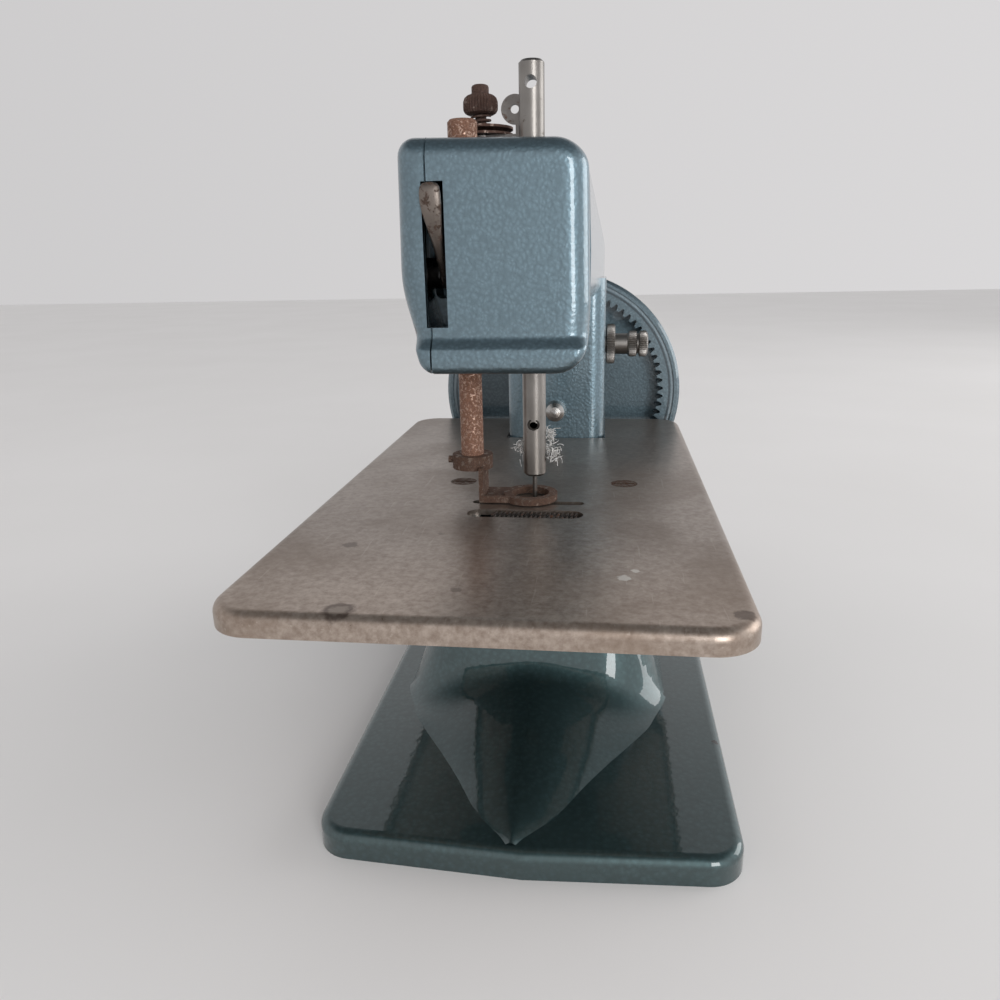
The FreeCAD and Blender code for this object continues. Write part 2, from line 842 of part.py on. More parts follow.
plate_left = -s.plate_side_shift - s.plate_width / 2
plate_right = -s.plate_side_shift + s.plate_width / 2
plate_front = s.needle_y - s.plate_front_reach
plate_rear = plate_front + s.plate_length
work_plate = plate_body(
    "WorkPlate", "XY_Plane",
    [(plate_left, plate_front), (plate_right, plate_front),
     (plate_right, plate_rear), (plate_left, plate_rear)],
    s.plate_rim_depth, (zero, zero, bed_top - s.plate_rim_depth))
body_fillet(work_plate, "PlateCorners", s.plate_corner_radius,
            lambda edge: runs_along(edge, "z"))
rim = s.plate_thickness
body_pocket(work_plate, "PlateHollow", "XY_Plane",
            [(plate_left + rim, plate_front + s.plate_corner_radius),
             (plate_left + s.plate_corner_radius, plate_front + rim),
             (plate_right - s.plate_corner_radius, plate_front + rim),
             (plate_right - rim, plate_front + s.plate_corner_radius),
             (plate_right - rim, plate_rear - s.plate_corner_radius),
             (plate_right - s.plate_corner_radius, plate_rear - rim),
             (plate_left + s.plate_corner_radius, plate_rear - rim),
             (plate_left + rim, plate_rear - s.plate_corner_radius)],
            s.plate_rim_depth - s.plate_thickness)
body_fillet(work_plate, "PlateTopEdge", s.plate_edge_radius,
            lambda edge: lies_at(edge, "z", s.plate_rim_depth))
notch_half = s.column_width / 2 + s.plate_notch_gap
slot_left = s.needle_x - s.slot_left_reach
slot_right = s.needle_x + s.slot_right_reach


def feed_slot(name, offset, width):
    """A slot across the plate in front of the needle, with round ends."""
    middle = s.needle_y - offset
    half = width / 2
    drop = bed_top - s.plate_thickness - s.overrun
    tall = s.plate_thickness + s.overrun * 2
    return fuse(name, [
        block(f"{name}Middle", (slot_left + half, middle - half, drop),
              (slot_right - half, middle + half, drop + tall)),
        rod(f"{name}LeftEnd", half, tall, (slot_left + half, middle, drop)),
        rod(f"{name}RightEnd", half, tall, (slot_right - half, middle, drop)),
    ])


sink_depth = (s.plate_screw_head_diameter - s.plate_screw_shank_diameter) / 4
sink_radius = s.plate_screw_head_diameter / 2 + s.running_clearance
sinks = []
for number, (side, sign) in enumerate(lug_spots, start=1):
    sinks.append(taper(f"PlateSink{number}", s.plate_screw_shank_diameter / 2, sink_radius,
                       sink_depth, (side, lug_y, bed_top - sink_depth)))
    sinks.append(rod(f"PlateScrewHole{number}",
                     s.plate_screw_shank_diameter / 2 + s.running_clearance,
                     s.plate_thickness + s.overrun * 2,
                     (side, lug_y, plate_under - s.overrun)))
plate_tools = [
    block("PlateNotch", (-notch_half, column_front - s.plate_notch_gap,
                         bed_top - s.plate_rim_depth - s.overrun),
          (notch_half, plate_rear + s.overrun, bed_top + s.overrun)),
    feed_slot("FarSlot", s.far_slot_offset, s.far_slot_width),
    feed_slot("NearSlot", s.near_slot_offset, s.near_slot_width),
    rod("NeedleHole", s.needle_hole_diameter / 2, s.plate_thickness + s.overrun * 2,
        (s.needle_x, s.needle_y, plate_under - s.overrun)),
] + sinks
keep("work_plate", cut("WorkPlateDone", work_plate, plate_tools))


def slotted(name, body, head_radius, top, slot_depth, spot, direction="Z"):
    """A screw with a driver slot cut across its head."""
    half = s.screw_slot / 2
    tool = block(f"{name}Slot", (-head_radius - s.overrun, -half, top - slot_depth),
                 (head_radius + s.overrun, half, top + s.overrun))
    tool_group = doc.addObject("Part::Compound", f"{name}SlotTool")
    tool_group.Links = [tool]
    place(tool_group, spot, direction)
    return cut(name, body, [tool_group])


plate_screws = []
for number, (side, sign) in enumerate(lug_spots, start=1):
    shank = s.plate_screw_shank_diameter / 2
    spot = (side, lug_y, bed_top)
    screw = turned_body(
        f"PlateScrew{number}",
        [(zero, -s.plate_screw_length), (shank, -s.plate_screw_length),
         (shank, -sink_depth), (s.plate_screw_head_diameter / 2, zero), (zero, zero)],
        spot)
    plate_screws.append(slotted(f"PlateScrewDone{number}", screw,
                                s.plate_screw_head_diameter / 2, zero, sink_depth / 2, spot))
keep("work_plate_screws", group("PlateScrews", plate_screws))

# Column, arm and head: one hollow casting, closed on the far side by a narrow cover.
# Both are cut from one outer form by a slanting seam.

rear_half = s.column_width / 2


def head_wire(y, inset):
    """The head's outline seen from the needle end, drawn in at the chin."""
    left = float(head_left) + inset
    right = float(head_right) - inset
    low = float(head_bottom) + inset
    high = float(head_top) - inset
    chin = float(s.head_chin_inset)
    crown = float(s.head_crown_inset)
    chin_top = low + float(s.head_chin_rise)
    fall = float(s.head_top_fall)
    corners = [(left + chin, low), (right - crown, low), (right, chin_top),
               (right - crown, high - fall), (left + crown, high), (left, chin_top + chin)]
    edge = float(s.head_edge_radius)
    small = max(edge - inset, edge / 3)
    large = max(edge * 1.8 - inset, edge / 2)
    huge = edge * 8
    return corner_wire(corners, [small, large, huge, large, small, huge], upright(y))


def arm_section(y, sides, heights, fall, narrowing, top_radius, inset):
    """One section across the arm: upright sides, then a slope in to a rounded top."""
    left, right = sides
    low, high = heights
    shoulder = low + (high - low) * float(s.arm_shoulder_share)
    corners = [(left + inset, low + inset), (right - inset, low + inset),
               (right - inset, shoulder), (right - narrowing - inset, high - fall - inset),
               (left + narrowing + inset, high - inset), (left + inset, shoulder)]
    edge = float(s.head_edge_radius)
    small = max(edge - inset, edge / 3)
    large = max(float(top_radius) - inset, small)
    soft = edge * 5
    return corner_wire(corners, [small, small, soft, large, large, soft], upright(y))


def arm_shape(inset):
    """The arm from the head to behind the column."""
    rear_y = float(column_rear) - inset
    reach = float(rear_half - s.arm_rear_draft)
    front = arm_section(float(s.needle_y), (float(head_left), float(head_right)),
                        (float(arm_bottom), float(head_top)), float(s.head_top_fall),
                        float(s.head_crown_inset), float(s.head_edge_radius) * 1.8, inset)
    rear = arm_section(rear_y, (-reach, reach), (float(arm_bottom), float(arm_rear_top)), 0,
                       float(s.arm_rear_narrowing), float(s.arm_rear_corner_radius), inset)
    return Part.makeLoft([front, rear], True, True)


def column_shape(inset, low, high):
    corner = max(float(s.column_corner_radius) - inset, float(s.casting_wall) / 2)
    reach = float(rear_half) - inset
    wire = corner_wire(box_corners(-reach, reach, float(column_front) + inset,
                                   float(column_rear) - inset), [corner] * 4, level(low))
    return prism(wire, Vector(0, 0, float(high) - float(low)))


def head_shape(inset):
    start = float(head_front) + inset
    end = float(head_back) - inset
    solid = prism(head_wire(start, inset), Vector(0, end - start, 0))
    if inset:
        return solid
    radius = float(s.head_edge_radius)
    front_edges = [edge for edge in solid.Edges if lies_at(edge, "y", start)]
    return solid.makeFillet(radius, front_edges)


def lip_shape():
    """The chin at the foot of the head's face, which comes forward in a double curve."""
    edge = float(s.head_edge_radius)
    sunk = float(s.head_lip_reach) * 0.04
    reach = float(s.head_lip_reach) + sunk
    face = float(head_front) + sunk
    deep = face + edge * 1.6
    low = float(head_bottom)
    foot = low + float(s.head_lip_height)
    sweep = float(s.head_lip_sweep)
    bevel = edge * 0.3
    turn = (reach * reach + sweep * sweep) / (4 * reach)
    lean = math.asin(sweep / (2 * turn)) / 2
    left = float(head_left) + float(s.head_chin_inset) + edge * 0.9
    right = float(head_right) - edge * 1.2
    top = Vector(left, face, foot + sweep)
    hollow = top + Vector(0, turn * (math.cos(lean) - 1), -turn * math.sin(lean))
    middle = Vector(left, face - reach / 2, foot + sweep / 2)
    foot_end = Vector(left, face - reach, foot)
    belly = foot_end + Vector(0, turn * (1 - math.cos(lean)), turn * math.sin(lean))
    spots = [foot_end, Vector(left, face - reach, low + bevel),
             Vector(left, face - reach + bevel, low), Vector(left, deep, low),
             Vector(left, deep, foot + sweep), top]
    lines = [Part.LineSegment(*pair).toShape() for pair in zip(spots, spots[1:])]
    curves = [Part.Arc(top, hollow, middle).toShape(),
              Part.Arc(middle, belly, foot_end).toShape()]
    bar = prism(Part.Wire(curves + lines), Vector(right - left, 0, 0))
    outline = corner_wire(box_corners(left, right, low, foot + sweep * 2),
                          [bevel, edge * 1.1, bevel, bevel], upright(face - reach * 2))
    return bar.common(prism(outline, Vector(0, reach * 2 + deep - face, 0)))


def throat_cove():
    """The round corner between the arm's underside and the column."""
    radius = float(s.throat_cove_radius)
    face = float(column_front)
    under = float(arm_bottom)
    reach = float(rear_half) - float(s.column_corner_radius)
    sunk = float(s.casting_wall) * 0.6
    centre = Vector(-reach, face - radius, under - radius)
    low = Vector(-reach, face, under - radius)
    high = Vector(-reach, face - radius, under)
    middle = centre + Vector(0, math.cos(math.pi / 4), math.sin(math.pi / 4)) * radius
    back = Vector(-reach, face + sunk, under - radius)
    corner = Vector(-reach, face + sunk, under + sunk)
    top = Vector(-reach, face - radius, under + sunk)
    wire = Part.Wire([Part.Arc(low, middle, high).toShape(),
                      Part.LineSegment(high, top).toShape(),
                      Part.LineSegment(top, corner).toShape(),
                      Part.LineSegment(corner, back).toShape(),
                      Part.LineSegment(back, low).toShape()])
    return prism(wire, Vector(2 * reach, 0, 0))


wall = float(s.casting_wall)
casting_outer = arm_shape(0).fuse([column_shape(0, plate_under, arm_bottom + s.casting_wall * 2),
                                   head_shape(0), lip_shape(), throat_cove()])
casting_hollow = arm_shape(wall).fuse([
    column_shape(wall, plate_under - s.overrun, arm_bottom + s.casting_wall * 3),
    head_shape(wall)])
outer_form = shaped("CastingOuter", casting_outer.removeSplitter())
hollow_form = shaped("CastingHollow", casting_hollow)

# The slanting seam: everything on its far side belongs to the cover.

seam_front_x = s.needle_x - s.seam_front_reach
seam_rear_x = -s.seam_rear_reach
seam_start = head_front - s.head_lip_reach * 2
far_side = head_left * 2


def seam_block(shift):
    """The space on the far side of the seam, above the work plate's level."""
    low = float(head_bottom) - float(s.overrun)
    tall = float(arm_rear_top - head_bottom) + float(s.overrun) * 2
    run = float(column_rear - head_front)
    slope = float(seam_rear_x - seam_front_x) / run
    start = float(seam_start)
    end = float(column_rear) + float(s.overrun)
    start_x = float(seam_front_x) + slope * (start - float(head_front)) + shift
    end_x = float(seam_front_x) + slope * (end - float(head_front)) + shift
    points = [Vector(float(far_side), start, low), Vector(start_x, start, low),
              Vector(end_x, end, low), Vector(float(far_side), end, low)]
    return prism(Part.makePolygon(points + [points[0]]), Vector(0, 0, tall))


cover_space = seam_block(0)
column_guard = Part.makeBox(float(s.column_width) * 2, float(s.column_depth) * 2,
                            float(arm_bottom - plate_under) + wall * 1.5,
                            Vector(-float(s.column_width), float(column_front) - wall * 2,
                                   float(plate_under)))
cover_zone = shaped("CoverZone", cover_space.cut(column_guard))
gap_zone = shaped("SeamGapZone", seam_block(float(s.seam_gap)).cut(column_guard))
empty_shell = cut("CastingShell", outer_form, [hollow_form])


def seam_x(y):
    """Where the seam lies at one depth, as a size."""
    share = (y - head_front) / (column_rear - head_front)
    return seam_front_x + (seam_rear_x - seam_front_x) * share


# Posts that carry the cover's screws, grown from the floor of the hollow.

post_z = arm_bottom + s.cover_post_rise
first_post_y = head_back + s.cover_post_size
last_post_y = column_front - s.cover_post_size
cover_screw_seats = [(first_post_y, post_z), ((first_post_y + last_post_y) / 2, post_z),
                     (last_post_y, post_z)]


def far_side_x(y):
    """The arm's far side at one depth, below its slope."""
    share = (y - s.needle_y) / (column_rear - s.needle_y)
    return head_left + (s.arm_rear_draft - rear_half - head_left) * share


half_post = s.cover_post_size / 2
posts = []
for number, (y, z) in enumerate(cover_screw_seats, start=1):
    posts.append(block(f"CoverPost{number}",
                       (far_side_x(y) + s.casting_wall / 2, y - half_post,
                        arm_bottom + s.casting_wall / 2),
                       (seam_x(y) + s.cover_post_size, y + half_post, z + half_post)))
shell = fuse("ShellWithPosts", [empty_shell] + posts)
cover_half = doc.addObject("Part::Common", "CoverHalf")
cover_half.Base = shell
cover_half.Tool = cover_zone

# Bosses inside the casting: guides for both bars, the lever's pivot and the axle.

guide_top_length = s.guide_boss_length + s.casting_wall / 2
guide_top_start = head_top - s.casting_wall - s.guide_boss_length
needle_guides = [
    rod("NeedleGuideTop", s.guide_boss_radius, guide_top_length,
        (s.needle_x, s.needle_y, guide_top_start)),
    rod("NeedleGuideLow", s.guide_boss_radius, s.guide_boss_length,
        (s.needle_x, s.needle_y, head_bottom + s.casting_wall - s.running_clearance)),
]
presser_guide_radius = s.seam_front_reach - s.presser_side - s.running_clearance
presser_guides = [
    rod("PresserGuideTop", presser_guide_radius, guide_top_length,
        (presser_x, presser_y, guide_top_start)),
    rod("PresserGuideLow", presser_guide_radius, s.guide_boss_length,
        (presser_x, presser_y, head_bottom + s.casting_wall - s.running_clearance)),
]
lever_near_x = s.needle_x + s.clamp_radius + s.lever_gap
lever_far_x = lever_near_x + s.lever_thickness
pivot_boss_x = lever_far_x + s.lever_gap
pivot_boss = rod("LeverPivotBoss", s.lever_boss_radius,
                 head_right - pivot_boss_x,
                 (pivot_boss_x, lever_pivot_y, lever_z), "X")
axle_bosses = [
    rod("AxleBossFront", s.axle_boss_radius, s.casting_wall,
        (zero, column_front + s.casting_wall - s.running_clearance, wheel_z), "Y"),
    rod("AxleBossRear", s.axle_boss_radius, s.casting_wall,
        (zero, column_rear - s.casting_wall * 2 + s.running_clearance, wheel_z), "Y"),
]
stitch_y = column_middle
stitch_z = bed_top + s.stitch_rise
stitch_boss = rod("StitchBoss", s.stitch_block, s.casting_wall,
                  (rear_half - s.casting_wall * 2 + s.running_clearance, stitch_y, stitch_z), "X")
tension_boss = rod("TensionBoss", s.tension_boss_radius, s.casting_wall * 1.05,
                   (s.needle_x - s.tension_side, s.needle_y + s.tension_offset,
                    head_top - s.casting_wall / 2))
bossed = fuse("CastingMainBossed",
              [shell] + needle_guides + presser_guides + [pivot_boss, stitch_boss, tension_boss]
              + axle_bosses)
main_body = cut("CastingMain", bossed, [gap_zone])
slot_tool = block("LifterSlot",
                  (seam_front_x - s.slot_gap_left, head_front - s.head_lip_reach * 2,
                   bed_top + s.slot_bottom_rise),
                  (seam_front_x + s.slot_gap_right, head_front + s.casting_wall + s.overrun,
                   bed_top + s.slot_top_rise))
through_height = head_top - head_bottom + s.overrun * 2
casting_tools = [
    slot_tool,
    rod("NeedleBore", guide_radius, through_height,
        (s.needle_x, s.needle_y, head_bottom - s.overrun)),
    rod("PresserBore", guide_radius, through_height,
        (presser_x, presser_y, head_bottom - s.overrun)),
    rod("LeverPivotBore", s.lever_pivot_diameter / 2,
        s.lever_boss_radius, (pivot_boss_x - s.overrun, lever_pivot_y, lever_z), "X"),
    rod("AxleBore", s.axle_diameter / 2, s.column_depth + s.overrun * 2,
        (zero, column_front - s.overrun, wheel_z), "Y"),
    rod("StitchBore", s.stitch_thread_diameter / 2 + s.running_clearance,
        s.casting_wall * 4, (rear_half - s.casting_wall * 3, stitch_y, stitch_z), "X"),
    rod("TensionStudBore", s.tension_stud_diameter / 2, s.casting_wall * 2 + s.overrun,
        (s.needle_x - s.tension_side, s.needle_y + s.tension_offset,
         head_top - s.casting_wall * 1.5)),
]
cover_screw_holes = []
cover_screws = []
for number, (y, z) in enumerate(cover_screw_seats, start=1):
    surface_x = far_side_x(y) + s.casting_wall * 0.15
    cover_screw_holes.append(rod(f"CoverScrewHole{number}",
                           s.small_screw_diameter / 2 + s.running_clearance,
                           s.cover_screw_length + s.overrun * 2,
                           (surface_x - s.overrun, y, z), "X"))
    cover_screw_holes.append(rod(f"CoverScrewSeat{number}",
                                 s.small_screw_head_radius + s.running_clearance,
                                 s.casting_wall, (surface_x - s.casting_wall, y, z), "X"))
keep("arm_casting", cut("ArmCastingDone", main_body, casting_tools + cover_screw_holes))
lifter_z = head_top - s.lifter_axis_drop
lifter_near_x = presser_x - bar_radius - s.lifter_gap
lifter_far_x = lifter_near_x - s.lifter_thickness
lifter_boss = rod("LifterBoss", s.lifter_cam_radius * 0.8,
                  lifter_far_x - s.lifter_gap - head_left - s.casting_wall / 2,
                  (head_left + s.casting_wall / 2, presser_y, lifter_z), "X")
cover_body = fuse("CoverBossed", [cover_half, lifter_boss])
cover_holes = [slot_tool] + cover_screw_holes
cover_holes.append(rod("LifterPinBore", s.lifter_pin_diameter / 2, s.lifter_cam_radius,
                       (lifter_far_x - s.lifter_gap - s.lifter_cam_radius + s.overrun,
                        presser_y, lifter_z), "X"))
keep("rear_cover", cut("RearCoverDone", cover_body, cover_holes))

# Cover screws, from the far side into the posts beside the seam.

for number, (y, z) in enumerate(cover_screw_seats, start=1):
    surface_x = far_side_x(y) + s.casting_wall * 0.15
    shank = s.small_screw_diameter / 2
    spot = (surface_x, y, z)
    screw = turned_body(
        f"CoverScrew{number}",
        [(zero, -s.small_screw_head_height), (s.small_screw_head_radius, -s.small_screw_head_height),
         (s.small_screw_head_radius, zero), (shank, zero),
         (shank, s.cover_screw_length), (zero, s.cover_screw_length)],
        spot, "X")
    cover_screws.append(screw)
keep("cover_screws", group("CoverScrews", cover_screws))

# Needle bar with its two thread holes, the needle in its socket and the screw that
# clamps it.

bar_bottom = head_bottom - s.needle_bar_drop
bar_top = bar_bottom + s.needle_bar_length
chamfer = bar_radius * 0.2
needle_radius = s.needle_diameter / 2
needle_bar = turned_body(
    "NeedleBar",
    [(zero, zero), (bar_radius - chamfer, zero), (bar_radius, chamfer),
     (bar_radius, s.needle_bar_length - chamfer), (bar_radius - chamfer, s.needle_bar_length),
     (zero, s.needle_bar_length)],
    (s.needle_x, s.needle_y, bar_bottom))
bar_tools = [
    rod("NeedleSocket", needle_radius, s.needle_socket_depth + s.overrun,
        (s.needle_x, s.needle_y, bar_bottom - s.overrun)),
    rod("TopThreadHole", s.thread_hole_diameter / 2, s.bar_diameter * 2,
        (s.needle_x, s.needle_y - s.bar_diameter, bar_top - s.thread_hole_inset), "Y"),
    rod("LowThreadHole", s.thread_hole_diameter * 0.4, s.bar_diameter * 2,
        (s.needle_x, s.needle_y - s.bar_diameter, bar_bottom + s.low_thread_hole_inset), "Y"),
    rod("SetScrewHole", s.set_screw_diameter / 2, s.bar_diameter,
        (s.needle_x, s.needle_y, bar_bottom + s.set_screw_rise), "X"),
]
keep("needle_bar", cut("NeedleBarDone", needle_bar, bar_tools))
needle_length = s.needle_socket_depth + s.needle_reach
keep("needle", turned_body(
    "Needle",
    [(zero, zero), (needle_radius, needle_radius * 6), (needle_radius, needle_length),
     (zero, needle_length)],
    (s.needle_x, s.needle_y, bar_bottom - s.needle_reach)))
set_radius = s.set_screw_diameter / 2
keep("needle_set_screw", turned_body(
    "NeedleSetScrew",
    [(zero, zero), (set_radius, zero), (set_radius, s.set_screw_length),
     (zero, s.set_screw_length)],
    (s.needle_x + needle_radius, s.needle_y, bar_bottom + s.set_screw_rise), "X"))

# Clamp on the needle bar, with the pin that the lever's fork carries up and down.

pin_radius = s.pin_diameter / 2
rest_pin_z = lever_z - half_swing
clamp_body = turned_body(
    "BarClamp",
    [(bar_radius, zero), (s.clamp_radius, zero), (s.clamp_radius, s.clamp_height),
     (bar_radius, s.clamp_height)],
    (s.needle_x, s.needle_y, rest_pin_z - s.clamp_height / 2))
clamp_pin_start = s.needle_x + bar_radius
clamp_pin = rod("ClampPin", pin_radius, lever_far_x + s.lever_gap - clamp_pin_start,
                (clamp_pin_start, s.needle_y, rest_pin_z), "X")
keep("needle_bar_clamp", fuse("ClampDone", [clamp_body, clamp_pin]))

# Needle lever: a flat rocking arm. The fork at its front takes the clamp's pin, and a
# block at its rear carries the pin for the connecting rod.

half_lever = s.lever_width / 2
front_end = -s.lever_pivot_reach - s.pin_diameter
rear_end = s.lever_rear_reach
slope_share = half_swing / s.lever_pivot_reach
front_fall = half_swing + s.pin_diameter * slope_share
lever_body = plate_body(
    "NeedleLever", "YZ_Plane",
    [(front_end, -front_fall - half_lever * 0.8), (zero, -half_lever * 1.1),
     (rear_end, rear_half_swing - half_lever * 0.8), (rear_end, rear_half_swing + half_lever * 0.8),
     (zero, half_lever * 1.1), (front_end, half_lever * 0.8 - front_fall)],
    s.lever_thickness, (lever_near_x, lever_pivot_y, lever_z))
lever_boss = rod("LeverBoss", s.lever_boss_radius, s.lever_thickness,
                 (lever_near_x, lever_pivot_y, lever_z), "X")
rear_z = lever_z + rear_half_swing
end_block_size = s.rod_eye_radius * 2
lever_block = block("LeverEndBlock",
                    (lever_near_x - s.lever_thickness / 2, lever_rear_y - end_block_size,
                     rear_z - s.rod_eye_radius),
                    (lever_far_x + s.lever_thickness / 2, lever_rear_y,
                     rear_z + s.rod_eye_radius))
fork_half = pin_radius + s.lever_gap / 2
rest_angle = math.degrees(math.atan(float(half_swing) / float(s.lever_pivot_reach)))
fork_tool = block("LeverForkCut",
                  (-s.lever_thickness, -s.pin_diameter * 3, -fork_half),
                  (s.lever_thickness * 2, s.pin_diameter * 1.4, fork_half))
fork_turned = doc.addObject("Part::Compound", "LeverForkTurned")
fork_turned.Links = [fork_tool]
fork_turned.Placement.Rotation = FreeCAD.Rotation(Vector(1, 0, 0), rest_angle)
for letter, length in zip("xyz", (lever_near_x, s.needle_y, rest_pin_z)):
    bind(fork_turned, f"Placement.Base.{letter}", length)
lever_middle_x = lever_near_x + s.lever_thickness / 2
keep("needle_lever", cut(
    "LeverDone", fuse("LeverWhole", [lever_body, lever_boss, lever_block]),
    [fork_turned,
     rod("LeverPivotHole", s.lever_pivot_diameter / 2 + s.running_clearance,
         s.lever_thickness * 4, (lever_near_x - s.lever_thickness, lever_pivot_y, lever_z), "X"),
     rod("LeverRodHole", pin_radius, end_block_size * 2,
         (lever_middle_x, lever_rear_y - end_block_size * 0.7, rear_z), "Y")]))
pivot_radius = s.lever_pivot_diameter / 2
pivot_start = lever_near_x - s.lever_gap / 2
keep("lever_pivot_pin", turned_body(
    "LeverPivotPin",
    [(zero, -s.lever_thickness / 2), (pivot_radius * 1.8, -s.lever_thickness / 2),
     (pivot_radius * 1.8, zero), (pivot_radius, zero),
     (pivot_radius, pivot_boss_x - pivot_start + s.lever_boss_radius - s.overrun),
     (zero, pivot_boss_x - pivot_start + s.lever_boss_radius - s.overrun)],
    (pivot_start, lever_pivot_y, lever_z), "X"))
rod_pin_start = lever_rear_y - end_block_size * 0.7
rod_pin_length = rod_front - s.rod_gap - rod_pin_start
keep("lever_rod_pin", turned_body(
    "LeverRodPin",
    [(zero, zero), (pin_radius, zero), (pin_radius, rod_pin_length - pin_radius / 3),
     (pin_radius * 0.7, rod_pin_length), (zero, rod_pin_length)],
    (lever_middle_x, rod_pin_start, rear_z), "Y"))

# Connecting rod: a strap round the eccentric, a loop that leaves room for the wheel's
# axle, and an eye at the top.

strap_inner = s.eccentric_radius + s.running_clearance
strap_z = shaft_z + s.throw
axle_radius = s.axle_diameter / 2
loop_inner = s.throw + axle_radius + s.rod_gap
loop_outer = loop_inner + s.rod_leg
loop_low = wheel_z - axle_radius - s.rod_gap
loop_high = wheel_z + axle_radius + s.rod_gap + s.throw * 2
half_neck = s.rod_neck / 2
eye_x = lever_middle_x
rod_pieces = [
    rod("RodStrap", strap_outer, s.strap_thickness, (zero, rod_front, strap_z), "Y"),
    block("RodStem", (-half_neck, rod_front, strap_z + strap_inner),
          (half_neck, rod_rear, loop_low)),
    block("RodLoop", (-loop_outer, rod_front, loop_low - s.rod_leg),
          (loop_outer, rod_rear, loop_high + s.rod_leg)),
    block("RodNeck", (eye_x - half_neck * 0.8, rod_front, loop_high),
          (eye_x + half_neck * 0.8, rod_rear, rear_z)),
    rod("RodEye", s.rod_eye_radius, s.strap_thickness, (eye_x, rod_front, rear_z), "Y"),
]
rod_tools = [
    rod("RodStrapHole", strap_inner, s.strap_thickness * 3,
        (zero, rod_front - s.strap_thickness, strap_z), "Y"),
    block("RodLoopHole", (-loop_inner, rod_front - s.strap_thickness, loop_low),
          (loop_inner, rod_rear + s.strap_thickness, loop_high)),
    rod("RodEyeHole", pin_radius + s.lever_gap / 2, s.strap_thickness * 3,
        (eye_x, rod_front - s.strap_thickness, rear_z), "Y"),
]
keep("connecting_rod", cut("RodDone", fuse("RodWhole", rod_pieces), rod_tools))

# Lower shaft, its bushes and what turns with it: looper, feed cam, eccentric, retaining
# collar and pinion.

looper_front = s.needle_y + needle_radius + s.looper_gap
shaft_front = looper_front + s.looper_thickness * 0.6
pinion_front = wheel_front + (s.ring_width - s.pinion_length) / 2
shaft_end = pinion_front + s.pinion_length + s.running_clearance * 8
keep("lower_shaft", rod("LowerShaft", shaft_radius, shaft_end - shaft_front,
                        (zero, shaft_front, shaft_z), "Y"))


def bush(name, y, length, direction):
    """A flanged bush whose flange lies on the wall's outer face."""
    inner = shaft_radius + s.running_clearance
    flange = bush_radius + s.bush_flange_rim
    return keep(name, turned_body(
        name.title().replace("_", ""),
        [(inner, -s.bush_flange), (flange, -s.bush_flange), (flange, zero),
         (bush_radius, zero), (bush_radius, length), (inner, length)],
        (zero, y, shaft_z), direction))


bush("front_bush", web_front_y, s.bearing_web, "Y")
bush("rear_bush", column_rear, s.bearing_web, "-Y")


def collar(name, inner, outer, length, y, height=shaft_z):
    return turned_body(name, [(inner, zero), (outer, zero), (outer, length), (inner, length)],
                       (zero, y, height), "Y")


keep("shaft_collar", collar("ShaftCollar", shaft_radius, s.retainer_radius, s.retainer_length,
                            web_rear + s.running_clearance * 4))


def eccentric(name, radius, throw, width, y):
    disc = rod(f"{name}Disc", radius, width, (zero, y, shaft_z + throw), "Y")
    hole = rod(f"{name}Hole", shaft_radius, width + s.overrun * 2,
               (zero, y - s.overrun, shaft_z), "Y")
    return cut(name, disc, [hole])


keep("eccentric", eccentric("Eccentric", s.eccentric_radius, s.throw, s.strap_thickness,
                            rod_front))
keep("feed_cam", eccentric("FeedCam", s.feed_cam_radius, s.feed_cam_throw, s.feed_cam_width,
                           feed_cam_y - s.feed_cam_width / 2))

# Looper: a thin disc on a hub, cut away so that it ends in a beak that passes close
# behind the needle.

looper_disc = rod("LooperDisc", s.looper_radius, s.looper_thickness,
                  (zero, looper_front, shaft_z), "Y")
looper_hub = rod("LooperHub", s.looper_hub_radius, s.looper_hub_length,
                 (zero, looper_front, shaft_z), "Y")
looper_hole = rod("LooperHole", shaft_radius, s.looper_hub_length * 2,
                  (zero, shaft_front, shaft_z), "Y")
looper_bite = block("LooperBite",
                    (s.looper_hub_radius * 0.5, looper_front - s.overrun,
                     shaft_z + s.looper_hub_radius * 1.1),
                    (s.looper_radius * 1.2, looper_front + s.looper_thickness + s.overrun,
                     shaft_z + s.looper_radius * 0.86))
looper_flat = block("LooperFlat",
                    (-s.looper_radius * 1.2, looper_front - s.overrun,
                     shaft_z - s.looper_radius * 1.2),
                    (s.looper_radius * 1.2, looper_front + s.looper_thickness + s.overrun,
                     shaft_z - s.looper_hub_radius * 1.1))
keep("looper", cut("LooperDone", fuse("Looper", [looper_disc, looper_hub]),
                   [looper_hole, looper_bite, looper_flat]))


# Gear teeth. Both outlines are involutes, with the play shared between the pair.

PRESSURE_ANGLE = math.radians(20)
FLANK_SHARES = (0, 0.25, 0.5, 0.75, 1)


def involute(angle):
    return math.tan(angle) - angle


